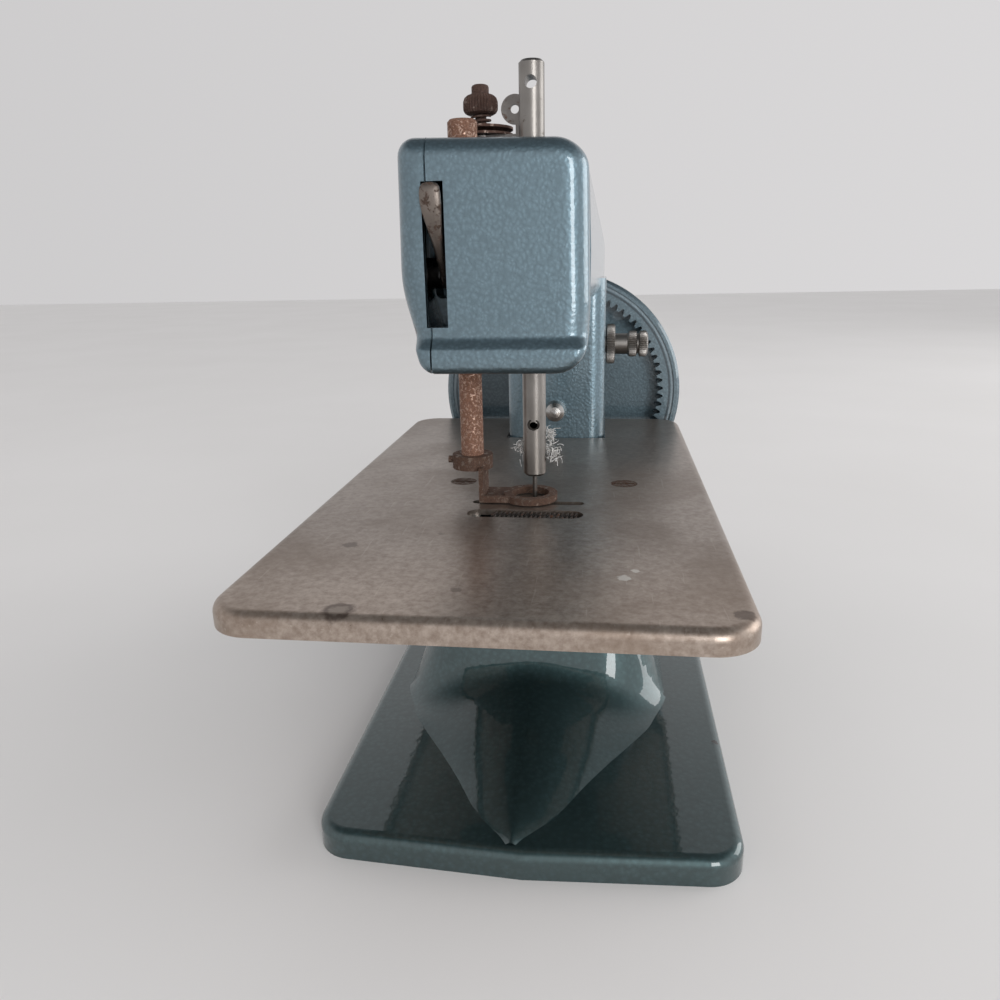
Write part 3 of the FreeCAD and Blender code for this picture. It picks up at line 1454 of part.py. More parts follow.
def gear_outline(teeth, addendum_share, dedendum_share, extra, turn, to_space):
    """A closed outline of a gear; extra widens each tooth at the pitch circle."""
    module = float(s.gear_module)
    pitch = module * teeth / 2
    base = pitch * math.cos(PRESSURE_ANGLE)
    tip = pitch + module * addendum_share
    root = pitch - module * dedendum_share
    half_tooth = (math.pi * module / 2 + extra) / 2 / pitch
    start = max(root, base)
    flank = []
    for share in FLANK_SHARES:
        radius = start + (tip - start) * share
        angle = math.acos(min(1, base / radius))
        flank.append((radius, half_tooth + involute(PRESSURE_ANGLE) - involute(angle)))
    points = []
    for tooth in range(teeth):
        middle = turn + 2 * math.pi * tooth / teeth
        rising = [(radius, middle - half) for radius, half in flank]
        falling = [(radius, middle + half) for radius, half in reversed(flank)]
        if root < base:
            rising.insert(0, (root, rising[0][1]))
            falling.append((root, falling[-1][1]))
        for radius, angle in rising + falling:
            points.append(to_space(Vector(radius * math.sin(angle), radius * math.cos(angle), 0)))
    return Part.makePolygon(points + [points[0]])


def gear_prism(teeth, addendum_share, dedendum_share, extra, turn, centre_z, y, width):
    height = float(centre_z)
    depth = float(y)
    wire = gear_outline(teeth, addendum_share, dedendum_share, float(extra), turn,
                        lambda spot: Vector(spot.x, depth, height + spot.y))
    return prism(wire, Vector(0, float(width), 0))


ring_teeth = int(float(s.ring_teeth))
pinion_teeth = int(float(s.pinion_teeth))
pinion_gear = shaped("PinionTeeth", gear_prism(
    pinion_teeth, 1, 1.25, -s.gear_backlash / 2, math.pi, shaft_z, pinion_front,
    s.pinion_length))
pinion_hub_front = column_rear + s.bush_flange + s.running_clearance * 4
pinion_hub = rod("PinionHub", s.pinion_hub_radius, pinion_front - pinion_hub_front,
                 (zero, pinion_hub_front, shaft_z), "Y")
pinion_bore = rod("PinionBore", shaft_radius, s.wheel_depth * 2,
                  (zero, pinion_hub_front - s.overrun, shaft_z), "Y")
keep("pinion", cut("PinionDone", fuse("Pinion", [pinion_gear, pinion_hub]), [pinion_bore]))

# Hand wheel: an open rim with inner teeth, a deep web at the back and a long hub.

tip_radius = pitch_radius - s.gear_module * 0.8
root_radius = pitch_radius + s.gear_module * 1.25
wheel_bore = axle_radius + s.running_clearance
hub_front = column_rear + s.wheel_hub_gap
deep = s.wheel_depth
hub_drop = hub_front - wheel_front
web_start = web_front - wheel_front
groove = s.wheel_step_radius - s.wheel_groove_radius
wheel_body = turned_body(
    "HandWheel",
    [(wheel_bore, hub_drop), (s.wheel_hub_radius, hub_drop), (s.wheel_hub_radius, web_start),
     (root_radius, web_start), (root_radius, s.ring_width), (tip_radius, s.ring_width),
     (tip_radius, zero), (s.wheel_groove_radius, zero), (s.wheel_groove_radius, s.wheel_step),
     (s.wheel_step_radius, s.wheel_step), (s.wheel_step_radius, zero),
     (s.wheel_radius - groove, zero), (s.wheel_radius, groove),
     (s.wheel_radius, deep - groove * 2), (s.wheel_radius - groove * 2, deep),
     (wheel_bore, deep)],
    (zero, wheel_front, wheel_z), "Y")
ring_space = shaped("RingTeethSpace", gear_prism(
    ring_teeth, 1.25, 1.2, s.gear_backlash / 2, math.pi, wheel_z,
    wheel_front - s.overrun, s.ring_width + s.overrun * 1.5))
ring_core = rod("RingTeethCore", tip_radius - s.gear_module, s.wheel_depth * 2,
                (zero, wheel_front - s.wheel_depth, wheel_z), "Y")
ring_cut = cut("RingTeethCut", ring_space, [ring_core])
handle_x = s.handle_radius
handle_hole = rod("HandleHole", s.handle_stud_diameter / 2, s.wheel_web + s.overrun * 2,
                  (handle_x, web_front - s.overrun, wheel_z), "Y")
keep("handwheel", cut("HandWheelDone", wheel_body, [ring_cut, handle_hole]))

# Axle of the wheel: a domed head in the throat, a washer each side of the wheel, a nut.

axle_end = wheel_back + s.axle_washer + s.axle_nut_height + s.overrun
axle_length = axle_end - column_front
dome = s.axle_dome_diameter / 2
keep("wheel_axle", turned_body(
    "WheelAxle",
    [(zero, -s.axle_dome_height), (dome * 0.5, -s.axle_dome_height * 0.92),
     (dome * 0.86, -s.axle_dome_height * 0.68), (dome, -s.axle_dome_height * 0.3), (dome, zero),
     (axle_radius, zero), (axle_radius, axle_length), (zero, axle_length)],
    (zero, column_front, wheel_z), "Y"))
keep("front_washer", collar("FrontWasher", axle_radius, s.axle_washer_radius,
                            s.wheel_hub_gap - s.running_clearance * 2, column_rear, wheel_z))
keep("rear_washer", collar("RearWasher", axle_radius, s.axle_washer_radius,
                           s.axle_washer - s.running_clearance * 2,
                           wheel_back + s.running_clearance * 2, wheel_z))
nut_start = wheel_back + s.axle_washer
nut_points = []
for corner in range(6):
    angle = math.radians(60 * corner)
    nut_points.append((s.axle_nut_radius * math.cos(angle), s.axle_nut_radius * math.sin(angle)))
nut_body = plate_body("AxleNut", "XZ_Plane", nut_points, s.axle_nut_height,
                      (zero, nut_start, wheel_z))
keep("axle_nut", cut("AxleNutDone", nut_body, [
    rod("AxleNutBore", axle_radius, s.axle_nut_height * 2,
        (zero, nut_start - s.overrun, wheel_z), "Y")]))

# Handle behind the wheel: a headed stud and a grip that turns on it.

stud_radius = s.handle_stud_diameter / 2
stud_length = s.handle_length + s.wheel_web
keep("handle_stud", turned_body(
    "HandleStud",
    [(zero, zero), (stud_radius, zero), (stud_radius, stud_length),
     (s.handle_head_radius, stud_length), (s.handle_head_radius, stud_length + s.handle_head),
     (zero, stud_length + s.handle_head)],
    (handle_x, web_front, wheel_z), "Y"))
grip_start = s.running_clearance * 6
grip_end = s.handle_length - s.running_clearance * 6
grip = s.handle_grip_radius
grip_bore = stud_radius + s.running_clearance
keep("handle_grip", turned_body(
    "HandleGrip",
    [(grip_bore, grip_start), (grip * 0.62, grip_start), (grip * 0.7, s.handle_length * 0.1),
     (grip * 0.62, s.handle_length * 0.22), (grip * 0.82, s.handle_length * 0.42),
     (grip, s.handle_length * 0.66), (grip * 0.96, s.handle_length * 0.8),
     (grip * 0.76, s.handle_length * 0.93), (grip * 0.6, grip_end), (grip_bore, grip_end)],
    (handle_x, wheel_back, wheel_z), "Y"))

# Feed: a bar under the plate that rocks on a swivel block and carries the feed dog.

feed_x = s.needle_x - s.feed_bar_side
feed_top = bed_top - s.feed_bar_drop
feed_low = feed_top - s.feed_bar_height
feed_pivot_y = s.needle_y + s.feed_pivot_offset
dog_y = s.needle_y - s.near_slot_offset
half_bar = s.feed_bar_width / 2
half_block = s.feed_block_size / 2
pivot_z = (feed_top + feed_low) / 2
feed_pin_radius = s.feed_pin_diameter / 2
tongue_half = s.feed_bar_width * 0.3
cheek_gap = s.lever_gap / 2
fork_reach = tongue_half + cheek_gap + s.feed_bar_width * 0.45
follower_low = shaft_z + s.feed_cam_radius + s.feed_cam_throw + s.feed_follower_gap
feed_bar_pieces = [
    block("FeedBarBeam", (feed_x - half_bar, dog_y - s.feed_dog_width / 2, feed_low),
          (feed_x + half_bar, feed_pivot_y - half_block * 1.2, feed_top)),
    block("FeedFollower", (feed_x - half_bar, feed_cam_y - half_bar, follower_low),
          (-feed_x / 3, feed_cam_y + half_bar, follower_low + half_bar)),
    block("FeedFollowerPost", (feed_x - half_bar, feed_cam_y - half_bar, follower_low),
          (feed_x + half_bar, feed_cam_y + half_bar, feed_low + half_bar)),
    block("FeedBarFork", (feed_x - fork_reach, feed_pivot_y - half_block * 1.4, feed_low),
          (feed_x + fork_reach, feed_pivot_y + half_block * 0.6, feed_top)),
]
feed_bar_tools = [
    block("FeedForkSlot", (feed_x - tongue_half - cheek_gap, feed_pivot_y - half_block * 1.05,
                           feed_low - s.overrun),
          (feed_x + tongue_half + cheek_gap, feed_pivot_y + half_block, feed_top + s.overrun)),
    rod("FeedForkHole", feed_pin_radius * 0.6 + s.running_clearance, s.feed_block_size * 2,
        (feed_x - s.feed_block_size, feed_pivot_y, pivot_z), "X"),
]
keep("feed_bar", cut("FeedBarDone", fuse("FeedBar", feed_bar_pieces), feed_bar_tools))
dog_left = s.needle_x - s.feed_dog_left_reach
dog_right = s.needle_x + s.feed_dog_right_reach
dog_top = bed_top - s.feed_dog_sink
dog_half = s.feed_dog_width / 2
tooth_count = int(float(s.feed_dog_left_reach + s.feed_dog_right_reach)
                  / float(s.feed_tooth_pitch))
tooth_points = [(dog_left, feed_top), (dog_right, feed_top), (dog_right, dog_top)]
for tooth in range(tooth_count):
    start = dog_right - s.feed_tooth_pitch * tooth
    tooth_points.append((start - s.feed_tooth_pitch * 0.2, dog_top + s.feed_tooth_height))
    tooth_points.append((start - s.feed_tooth_pitch, dog_top))
if float(tooth_points[-1][0]) - float(dog_left) > SAME:
    tooth_points.append((dog_left, dog_top))
dog_body = plate_body("FeedDog", "XZ_Plane", tooth_points, s.feed_dog_width,
                      (zero, dog_y - dog_half, zero))
dog_groove = block("FeedDogGroove",
                   (dog_left - s.overrun, dog_y - dog_half * 0.35, dog_top - s.feed_tooth_height),
                   (dog_right + s.overrun, dog_y + dog_half * 0.35, dog_top + s.overrun * 2))
keep("feed_dog", cut("FeedDogDone", dog_body, [dog_groove]))
swivel_base = feed_low - s.feed_bar_height
swivel_pieces = [
    rod("SwivelDisc", half_block, s.feed_bar_height - s.lever_gap,
        (feed_x, feed_pivot_y, swivel_base)),
    block("SwivelTongue", (feed_x - tongue_half, feed_pivot_y - half_block * 0.6, swivel_base),
          (feed_x + tongue_half, feed_pivot_y + half_block * 0.6, feed_top)),
    rod("SwivelPin", feed_pin_radius, s.feed_bar_height * 1.8,
        (feed_x, feed_pivot_y, swivel_base - s.feed_bar_height * 1.3)),
]
keep("feed_swivel", cut("SwivelDone", fuse("Swivel", swivel_pieces), [
    rod("SwivelHole", feed_pin_radius * 0.6, s.feed_block_size * 2,
        (feed_x - s.feed_block_size, feed_pivot_y, pivot_z), "X")]))
keep("feed_hinge_pin", rod("FeedHingePin", feed_pin_radius * 0.6, fork_reach * 2,
                           (feed_x - fork_reach, feed_pivot_y, pivot_z), "X"))

# Presser bar with its collar, spring and cap.

presser_bottom = bed_top + s.presser_bottom_rise
presser_top = bed_top + s.presser_top_rise
presser_length = presser_top - presser_bottom
cap_low = head_top + s.running_clearance * 10
cap_start = cap_low - presser_bottom
keep("presser_bar", turned_body(
    "PresserBar",
    [(zero, zero), (bar_radius, zero), (bar_radius, cap_start),
     (bar_radius + s.casting_wall / 5, cap_start),
     (bar_radius + s.casting_wall / 5, presser_length - chamfer),
     (bar_radius, presser_length), (zero, presser_length)],
    (presser_x, presser_y, presser_bottom)))
collar_low = lifter_z + s.lifter_cam_radius * 0.86
keep("presser_collar", turned_body(
    "PresserCollar",
    [(bar_radius, zero), (s.presser_collar_radius, zero),
     (s.presser_collar_radius, s.presser_collar_height), (bar_radius, s.presser_collar_height)],
    (presser_x, presser_y, collar_low)))


def arc_through(start, tangent, end):
    """An arc that leaves one point along a tangent and meets another."""
    chord = end - start
    angle = tangent.getAngle(chord)
    side = tangent - chord * (tangent.dot(chord) / chord.dot(chord))
    lift = side.normalize() * (chord.Length / 2 * math.tan(angle / 2))
    return Part.Arc(start, start + chord / 2 + lift, end).toShape()


def quarter_biarc(first, first_tangent, last, last_tangent):
    """Two arcs that join two points of a winding and keep its direction at both."""
    chord = last - first
    total = first_tangent + last_tangent
    bend = 2 * (1 - first_tangent.dot(last_tangent))
    along = chord.dot(total)
    reach = (math.sqrt(along * along + bend * chord.dot(chord)) - along) / bend
    joint = (first + last + (first_tangent - last_tangent) * reach) / 2
    leaving = last + (joint - last)
    second = arc_through(last, -last_tangent, leaving)
    return [arc_through(first, first_tangent, joint), second]


def wound_spring(name, wire, mean, height, turns, spot):
    """One unbroken tube that winds up from a spot."""
    radius = float(mean)
    centre = Vector(*[float(length) for length in spot])
    rise = float(height) / turns
    quarters = int(turns * 4)

    def at(angle):
        return centre + Vector(radius * math.cos(angle), radius * math.sin(angle),
                               rise * angle / (2 * math.pi))

    def heading(angle):
        return Vector(-radius * math.sin(angle), radius * math.cos(angle),
                      rise / (2 * math.pi)).normalize()

    edges = []
    for number in range(quarters):
        start = math.pi / 2 * number
        end = math.pi / 2 * (number + 1)
        edges += quarter_biarc(at(start), heading(start), at(end), heading(end))
    path = Part.Wire(Part.__sortEdges__(edges))
    section = Part.Wire(Part.makeCircle(float(wire) / 2, at(0), heading(0)))
    print(f"{name}: least gap between turns {rise - float(wire):.2f} mm")
    return shaped(name, path.makePipeShell([section], True, False))


presser_turns = int(float(s.presser_spring_turns))
spring_low = collar_low + s.presser_collar_height
spring_high = head_top - s.casting_wall - s.guide_boss_length
wire_radius = s.presser_spring_wire / 2
keep("presser_spring", wound_spring(
    "PresserSpring", s.presser_spring_wire, bar_radius + wire_radius * 1.8,
    spring_high - spring_low - s.presser_spring_wire, presser_turns,
    (presser_x, presser_y, spring_low + wire_radius)))

# Presser foot: a hub on the bar, a leg and a sole that ends in a ring round the needle.

foot_bottom = bed_top + s.foot_rise
hub_low = presser_bottom - s.foot_sheet * 0.6
hub_high = presser_bottom + s.foot_sheet * 2.6
leg_x = s.needle_x - s.foot_leg_side
ring_x = s.needle_x - s.foot_sheet
ring_y = s.needle_y - s.foot_sheet
sole_front = ring_y - s.foot_sole_front
sole_back = ring_y + s.foot_sole_back
foot_pieces = [
    rod("FootHub", s.foot_tab_radius, hub_high - hub_low, (presser_x, presser_y, hub_low)),
    block("FootLeg", (leg_x - s.foot_sheet, sole_front, foot_bottom),
          (leg_x, sole_back - s.foot_sheet, hub_low + s.foot_sheet)),
    block("FootSole", (leg_x - s.foot_sheet, sole_front, foot_bottom),
          (ring_x, sole_back, foot_bottom + s.foot_sheet)),
    block("FootWall", (leg_x - s.foot_sheet, sole_front, foot_bottom),
          (ring_x - s.foot_hole_radius * 0.8, sole_front + s.foot_sheet,
           foot_bottom + s.foot_ring_height)),
    rod("FootRing", s.foot_ring_radius, s.foot_ring_height, (ring_x, ring_y, foot_bottom)),
]
foot_tools = [
    rod("FootRingHole", s.foot_hole_radius, s.foot_ring_height * 3,
        (ring_x, ring_y, foot_bottom - s.overrun)),
    rod("FootBarHole", bar_radius, s.foot_tab_radius * 2,
        (presser_x, presser_y, presser_bottom)),
    rod("FootScrewHole", s.foot_screw_diameter / 2, s.foot_tab_radius * 2,
        (presser_x - s.foot_tab_radius * 2, presser_y, presser_bottom + s.foot_sheet * 1.2), "X"),
]
keep("presser_foot", cut("FootDone", fuse("Foot", foot_pieces), foot_tools))
foot_screw_radius = s.foot_screw_diameter / 2
screw_reach = s.foot_tab_radius - bar_radius
keep("foot_screw", turned_body(
    "FootScrew",
    [(zero, zero), (foot_screw_radius, zero), (foot_screw_radius, screw_reach + s.foot_sheet),
     (zero, screw_reach + s.foot_sheet)],
    (presser_x - s.foot_tab_radius - s.foot_sheet, presser_y,
     presser_bottom + s.foot_sheet * 1.2), "X"))

# Lifter: a flat lever on a pin in the cover. Its tab stands in the slot and its finger
# comes under the collar.

hub_radius = s.lifter_cam_radius * 0.8
half_lifter_neck = s.lifter_neck / 2
tab_y = -s.lifter_tab_reach
tab_z = s.lifter_tab_rise
finger = s.lifter_cam_radius * 1.72
lifter_plate = plate_body(
    "LifterPlate", "YZ_Plane",
    [(tab_y, tab_z - half_lifter_neck), (tab_y * 0.66, tab_z - half_lifter_neck * 1.8),
     (-hub_radius * 1.6, zero), (-hub_radius * 0.7, -hub_radius * 0.75),
     (hub_radius * 0.8, -hub_radius * 0.6), (finger * 0.97, finger * 0.2),
     (finger * 0.88, finger * 0.42), (hub_radius * 0.3, hub_radius * 0.9),
     (-hub_radius, hub_radius * 0.9), (tab_y * 0.42, tab_z + half_lifter_neck * 0.6),
     (tab_y, tab_z + half_lifter_neck)],
    s.lifter_thickness, (lifter_far_x, presser_y, lifter_z))
slot_middle_x = seam_front_x + (s.slot_gap_right - s.slot_gap_left) / 2
half_tab = s.lifter_tab_width / 2
half_tab_height = s.lifter_tab_height / 2
tab_front = presser_y - s.lifter_tab_reach
lifter_tab = block("LifterTab",
                   (slot_middle_x - half_tab, tab_front, lifter_z + tab_z - half_tab_height),
                   (slot_middle_x + half_tab, tab_front + s.lifter_neck,
                    lifter_z + tab_z + half_tab_height))
lifter_hub = rod("LifterHub", hub_radius, s.lifter_thickness,
                 (lifter_far_x, presser_y, lifter_z), "X")
lifter_pin_radius = s.lifter_pin_diameter / 2
keep("lifter_lever", cut("LifterDone", fuse("Lifter", [lifter_plate, lifter_tab, lifter_hub]), [
    rod("LifterBore", lifter_pin_radius + s.running_clearance, s.lifter_thickness * 3,
        (lifter_far_x - s.lifter_thickness, presser_y, lifter_z), "X")]))
lifter_pin_start = lifter_far_x - s.lifter_gap - s.lifter_cam_radius + s.overrun
keep("lifter_pin", rod("LifterPin", lifter_pin_radius, lifter_near_x - lifter_pin_start,
                       (lifter_pin_start, presser_y, lifter_z), "X"))

# Thread tension on a low boss of the casting: guide sheet, two discs, spring and nut.

tension_x = s.needle_x - s.tension_side
tension_y = s.needle_y + s.tension_offset
boss_top = head_top + s.casting_wall * 0.55
stud_r = s.tension_stud_diameter / 2
stud_low = head_top - s.casting_wall * 1.5
keep("tension_stud", rod("TensionStud", stud_r, s.tension_stud_top + s.casting_wall * 1.5,
                         (tension_x, tension_y, stud_low)))
ear_x = s.needle_x - s.guide_ear_side
ear_y = tension_y - s.tension_disc_radius / 2
ear_z = boss_top + s.guide_ear_rise
guide_half = s.guide_ear_radius
guide_pieces = [
    rod("GuideBase", s.guide_ear_radius * 1.3, s.guide_sheet, (tension_x, tension_y, boss_top)),
    block("GuideStrip", (tension_x, ear_y, boss_top),
          (ear_x + guide_half, tension_y + guide_half * 0.6, boss_top + s.guide_sheet)),
    block("GuideRiser", (ear_x + guide_half * 0.05, ear_y, boss_top),
          (ear_x + guide_half, ear_y + s.guide_sheet, ear_z)),
    rod("GuideEar", s.guide_ear_radius, s.guide_sheet, (ear_x, ear_y, ear_z), "Y"),
]
keep("thread_guide", cut("GuideDone", fuse("Guide", guide_pieces), [
    rod("GuideHole", s.guide_hole_diameter / 2, s.guide_sheet * 3,
        (ear_x, ear_y - s.guide_sheet, ear_z), "Y"),
    rod("GuideStudHole", stud_r, s.guide_sheet * 3,
        (tension_x, tension_y, boss_top - s.guide_sheet))]))
disc_t = s.tension_disc_thickness
dish = s.tension_disc_dish
disc_r = s.tension_disc_radius
disc_low = boss_top + s.guide_sheet
bore = stud_r + s.running_clearance


def tension_disc(name, z, rim, middle):
    """A shallow dish whose rim and middle lie at different heights."""
    return turned_body(name, [
        (bore, middle), (disc_r * 0.4, middle), (disc_r * 0.75, rim), (disc_r, rim),
        (disc_r, rim + disc_t), (disc_r * 0.75, rim + disc_t),
        (disc_r * 0.4, middle + disc_t), (bore, middle + disc_t)],
        (tension_x, tension_y, z))


keep("lower_tension_disc", tension_disc("LowerTensionDisc", disc_low, zero, dish))
keep("upper_tension_disc", tension_disc("UpperTensionDisc", disc_low + dish + disc_t,
                                        dish, zero))
tension_spring_low = disc_low + dish + disc_t * 2
nut_low = boss_top + s.guide_sheet + s.tension_nut_height * 1.15
tension_wire = s.tension_spring_wire / 2
keep("tension_spring", wound_spring(
    "TensionSpring", s.tension_spring_wire, stud_r + tension_wire * 3.4,
    nut_low - tension_spring_low - s.tension_spring_wire, int(float(s.tension_spring_turns)),
    (tension_x, tension_y, tension_spring_low + tension_wire)))
nut_tall = s.tension_nut_height + s.tension_nut_boss_height
nut_r = s.tension_nut_radius
keep("tension_nut", turned_body(
    "TensionNut",
    [(bore, zero), (nut_r * 0.93, zero), (nut_r, nut_r * 0.07),
     (nut_r, s.tension_nut_height - nut_r * 0.07), (nut_r * 0.93, s.tension_nut_height),
     (s.tension_nut_boss_radius, s.tension_nut_height),
     (s.tension_nut_boss_radius, nut_tall), (bore, nut_tall)],
    (tension_x, tension_y, nut_low)))

# Stitch length screw and its lock disc on the operator's side of the column.

thread_radius = s.stitch_thread_diameter / 2
disc_x = rear_half + s.stitch_gap
thread_bore = thread_radius + s.running_clearance
disc_edge = s.stitch_disc_thickness * 0.2
lock_r = s.stitch_disc_radius
keep("stitch_lock_disc", turned_body(
    "StitchLockDisc",
    [(thread_bore, zero), (lock_r - disc_edge, zero), (lock_r, disc_edge),
     (lock_r, s.stitch_disc_thickness - disc_edge),
     (lock_r - disc_edge, s.stitch_disc_thickness),
     (thread_bore, s.stitch_disc_thickness)],
    (disc_x, stitch_y, stitch_z), "X"))
shank_x = disc_x + s.stitch_disc_thickness + s.stitch_gap
thread_start = rear_half - s.casting_wall * 2 + s.running_clearance * 2
lead = shank_x - thread_start
knurl_start = lead + s.stitch_shank_length
knurl_end = knurl_start + s.stitch_knurl_length
groove_start = knurl_start + (s.stitch_knurl_length - s.stitch_groove) / 2
groove_end = groove_start + s.stitch_groove
knurl_r = s.stitch_knurl_radius
keep("stitch_length_screw", turned_body(
    "StitchLengthScrew",
    [(zero, zero), (thread_radius, zero), (thread_radius, lead), (s.stitch_shank_radius, lead),
     (s.stitch_shank_radius, knurl_start), (knurl_r, knurl_start), (knurl_r, groove_start),
     (s.stitch_shank_radius, groove_start), (s.stitch_shank_radius, groove_end),
     (knurl_r, groove_end), (knurl_r, knurl_end), (zero, knurl_end)],
    (thread_start, stitch_y, stitch_z), "X"))

# Check every object, then write one file for each sub-part.

doc.recompute()
for thing in doc.Objects:
    if "Invalid" in thing.State or "Error" in thing.State:
        raise RuntimeError(f"{thing.Name} did not build: {thing.State}")
os.makedirs("parts", exist_ok=True)
for name, thing in nodes.items():
    shape = thing.Shape
    if shape.isNull() or not shape.isValid():
        raise RuntimeError(f"{name} has no valid shape")
    if not shape.Solids:
        raise RuntimeError(f"{name} has no solid")
    shape.exportStep(f"parts/{name}.step")
    print(f"{name}: {len(shape.Solids)} solid, {shape.Volume:.0f} mm3")
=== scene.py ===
# %% [markdown]
# # A toy sewing machine in hammered paint
# This lesson dresses a finished construction model. The model arrives as a frame: every solid
# already lies where it belongs, in metres, so nothing here is moved or measured twice. The work
# is light, finishes, and the forms that a lathe, a knurling wheel and years of use leave on the
# real thing. The needle comes down about 30 mm in front of the origin, and the hand wheel is at
# positive Y. Lengths in the code are in millimetres where MM turns them into metres.

# %% Load the frame and keep its size
import math
import random

import bmesh
import bpy
from mathutils import Matrix, Vector


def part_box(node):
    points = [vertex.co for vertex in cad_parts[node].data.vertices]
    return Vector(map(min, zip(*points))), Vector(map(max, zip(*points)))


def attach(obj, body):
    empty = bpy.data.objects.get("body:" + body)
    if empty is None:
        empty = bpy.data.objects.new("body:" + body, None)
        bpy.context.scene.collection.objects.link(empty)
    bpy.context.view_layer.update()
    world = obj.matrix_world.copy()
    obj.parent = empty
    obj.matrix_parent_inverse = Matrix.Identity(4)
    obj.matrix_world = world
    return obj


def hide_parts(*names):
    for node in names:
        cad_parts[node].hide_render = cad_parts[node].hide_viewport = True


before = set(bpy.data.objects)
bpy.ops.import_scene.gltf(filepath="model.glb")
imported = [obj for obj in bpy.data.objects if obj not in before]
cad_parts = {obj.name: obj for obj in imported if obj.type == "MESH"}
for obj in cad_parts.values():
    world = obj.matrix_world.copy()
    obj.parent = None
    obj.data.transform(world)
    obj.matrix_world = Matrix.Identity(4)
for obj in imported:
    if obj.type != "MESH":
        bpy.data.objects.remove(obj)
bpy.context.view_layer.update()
scene = bpy.context.scene
MM = 0.001
random.seed(7)
print("pieces in the frame:", len(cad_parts))

# %% [markdown]
# ## The camera
# The photograph was taken from close by, a little to the right of the needle and above the work
# plate, with a wide phone lens. A close wide lens makes the near edge of the plate much broader
# than its far edge, so the camera has to stand where the phone stood: moving it back and using a
# longer lens would flatten that. The three angles were found from straight edges of the plate.

# %% Put the camera where the phone was
TURN = math.radians(-7.67)
TILT = math.radians(17.0)
LEAN = math.radians(1.27)
PHONE_SPOT = Vector((17.7, -243.8, 145.2))
LENS = 28.33
SENSOR_WIDTH = 36

ahead = Vector((math.sin(TURN) * math.cos(TILT), math.cos(TURN) * math.cos(TILT), -math.sin(TILT)))
aside = Vector((math.cos(TURN), -math.sin(TURN), 0))
down = ahead.cross(aside)
right_edge = aside * math.cos(LEAN) + down * math.sin(LEAN)
down_edge = down * math.cos(LEAN) - aside * math.sin(LEAN)

camera_data = bpy.data.cameras.new("phone")
camera_data.sensor_width = SENSOR_WIDTH
camera_data.lens = LENS
camera_data.clip_start = 0.01
camera = bpy.data.objects.new("phone", camera_data)
scene.collection.objects.link(camera)
turned_axes = Matrix((right_edge, -down_edge, -ahead)).transposed().to_4x4()
camera.matrix_world = Matrix.Translation(PHONE_SPOT * MM) @ turned_axes
scene.camera = camera
print("camera looks along", tuple(round(part, 3) for part in ahead))

# %% [markdown]
# ## A plain pale floor
# The machine is shown on its own, so it needs only a plain floor to stand on and to throw light
# up at it. A flat sheet three metres each way is enough, because nothing of it is seen but its
# tone. Even so it gets a slow drift of colour, as one flat grey looks like cut paper. The three
# helpers come first, because every finish from here on is wired with them.

# %% Node helpers
def fresh_finish(name):
    """A new node material, its tree and its shader."""
    finish = bpy.data.materials.new(name)
    finish.use_nodes = True
    return finish, finish.node_tree, finish.node_tree.nodes["Principled BSDF"]


def add(tree, kind, settings=None, **values):
    """A node of one kind with its sockets and settings filled in."""
    made = tree.nodes.new("ShaderNode" + kind)
    for key, value in (settings or {}).items():
        setattr(made, key, value)
    for key, value in values.items():
        made.inputs[key.replace("_", " ")].default_value = value
    return made


def join(tree, start, end):
    """One wire from an outgoing socket to an incoming one."""
    tree.links.new(start, end)


# %% The pale floor
FLOOR_HALF = 3.0

floor_finish, tree, shader = fresh_finish("pale_floor")
spot = add(tree, "TexCoord")
cloud = add(tree, "TexNoise", Scale=6, Detail=3)
tone = add(tree, "ValToRGB")
tone.color_ramp.elements[0].color = (0.76, 0.745, 0.735, 1)
tone.color_ramp.elements[1].color = (0.82, 0.805, 0.80, 1)
join(tree, spot.outputs["Object"], cloud.inputs["Vector"])
join(tree, cloud.outputs["Fac"], tone.inputs["Fac"])
join(tree, tone.outputs["Color"], shader.inputs["Base Color"])
shader.inputs["Roughness"].default_value = 0.9
shader.inputs["Specular IOR Level"].default_value = 0.2

floor_mesh = bpy.data.meshes.new("floor")
floor_corners = [(-FLOOR_HALF, -FLOOR_HALF, 0), (FLOOR_HALF, -FLOOR_HALF, 0),
                 (FLOOR_HALF, FLOOR_HALF, 0), (-FLOOR_HALF, FLOOR_HALF, 0)]
floor_mesh.from_pydata(floor_corners, [], [(0, 1, 2, 3)])
floor = bpy.data.objects.new("floor", floor_mesh)
floor.data.materials.append(floor_finish)
scene.collection.objects.link(floor)
print("floor side:", 2 * FLOOR_HALF, "m")

# %% [markdown]
# ## Light for glossy paint
# Glossy paint shows its surroundings more than its own colour, so the surroundings are part of
# the finish. They could be modelled as walls, but a sky whose tone only changes with height does
# the same and has no corners to hide. Bright low down, it draws the pale strips on the base and
# the arm. Dark above, it keeps the upward edges dark. A tall soft panel at the front right draws
# the thin bright lines down the head, the column and the bars. The even light from above is kept
# out of reflections, so that it lifts the dull surfaces and leaves the glossy ones alone.

# %% Bright low down, dark above
WALL_TONE = (0.635, 0.625, 0.63, 1)
CEILING_TONE = (0.09, 0.095, 0.10, 1)

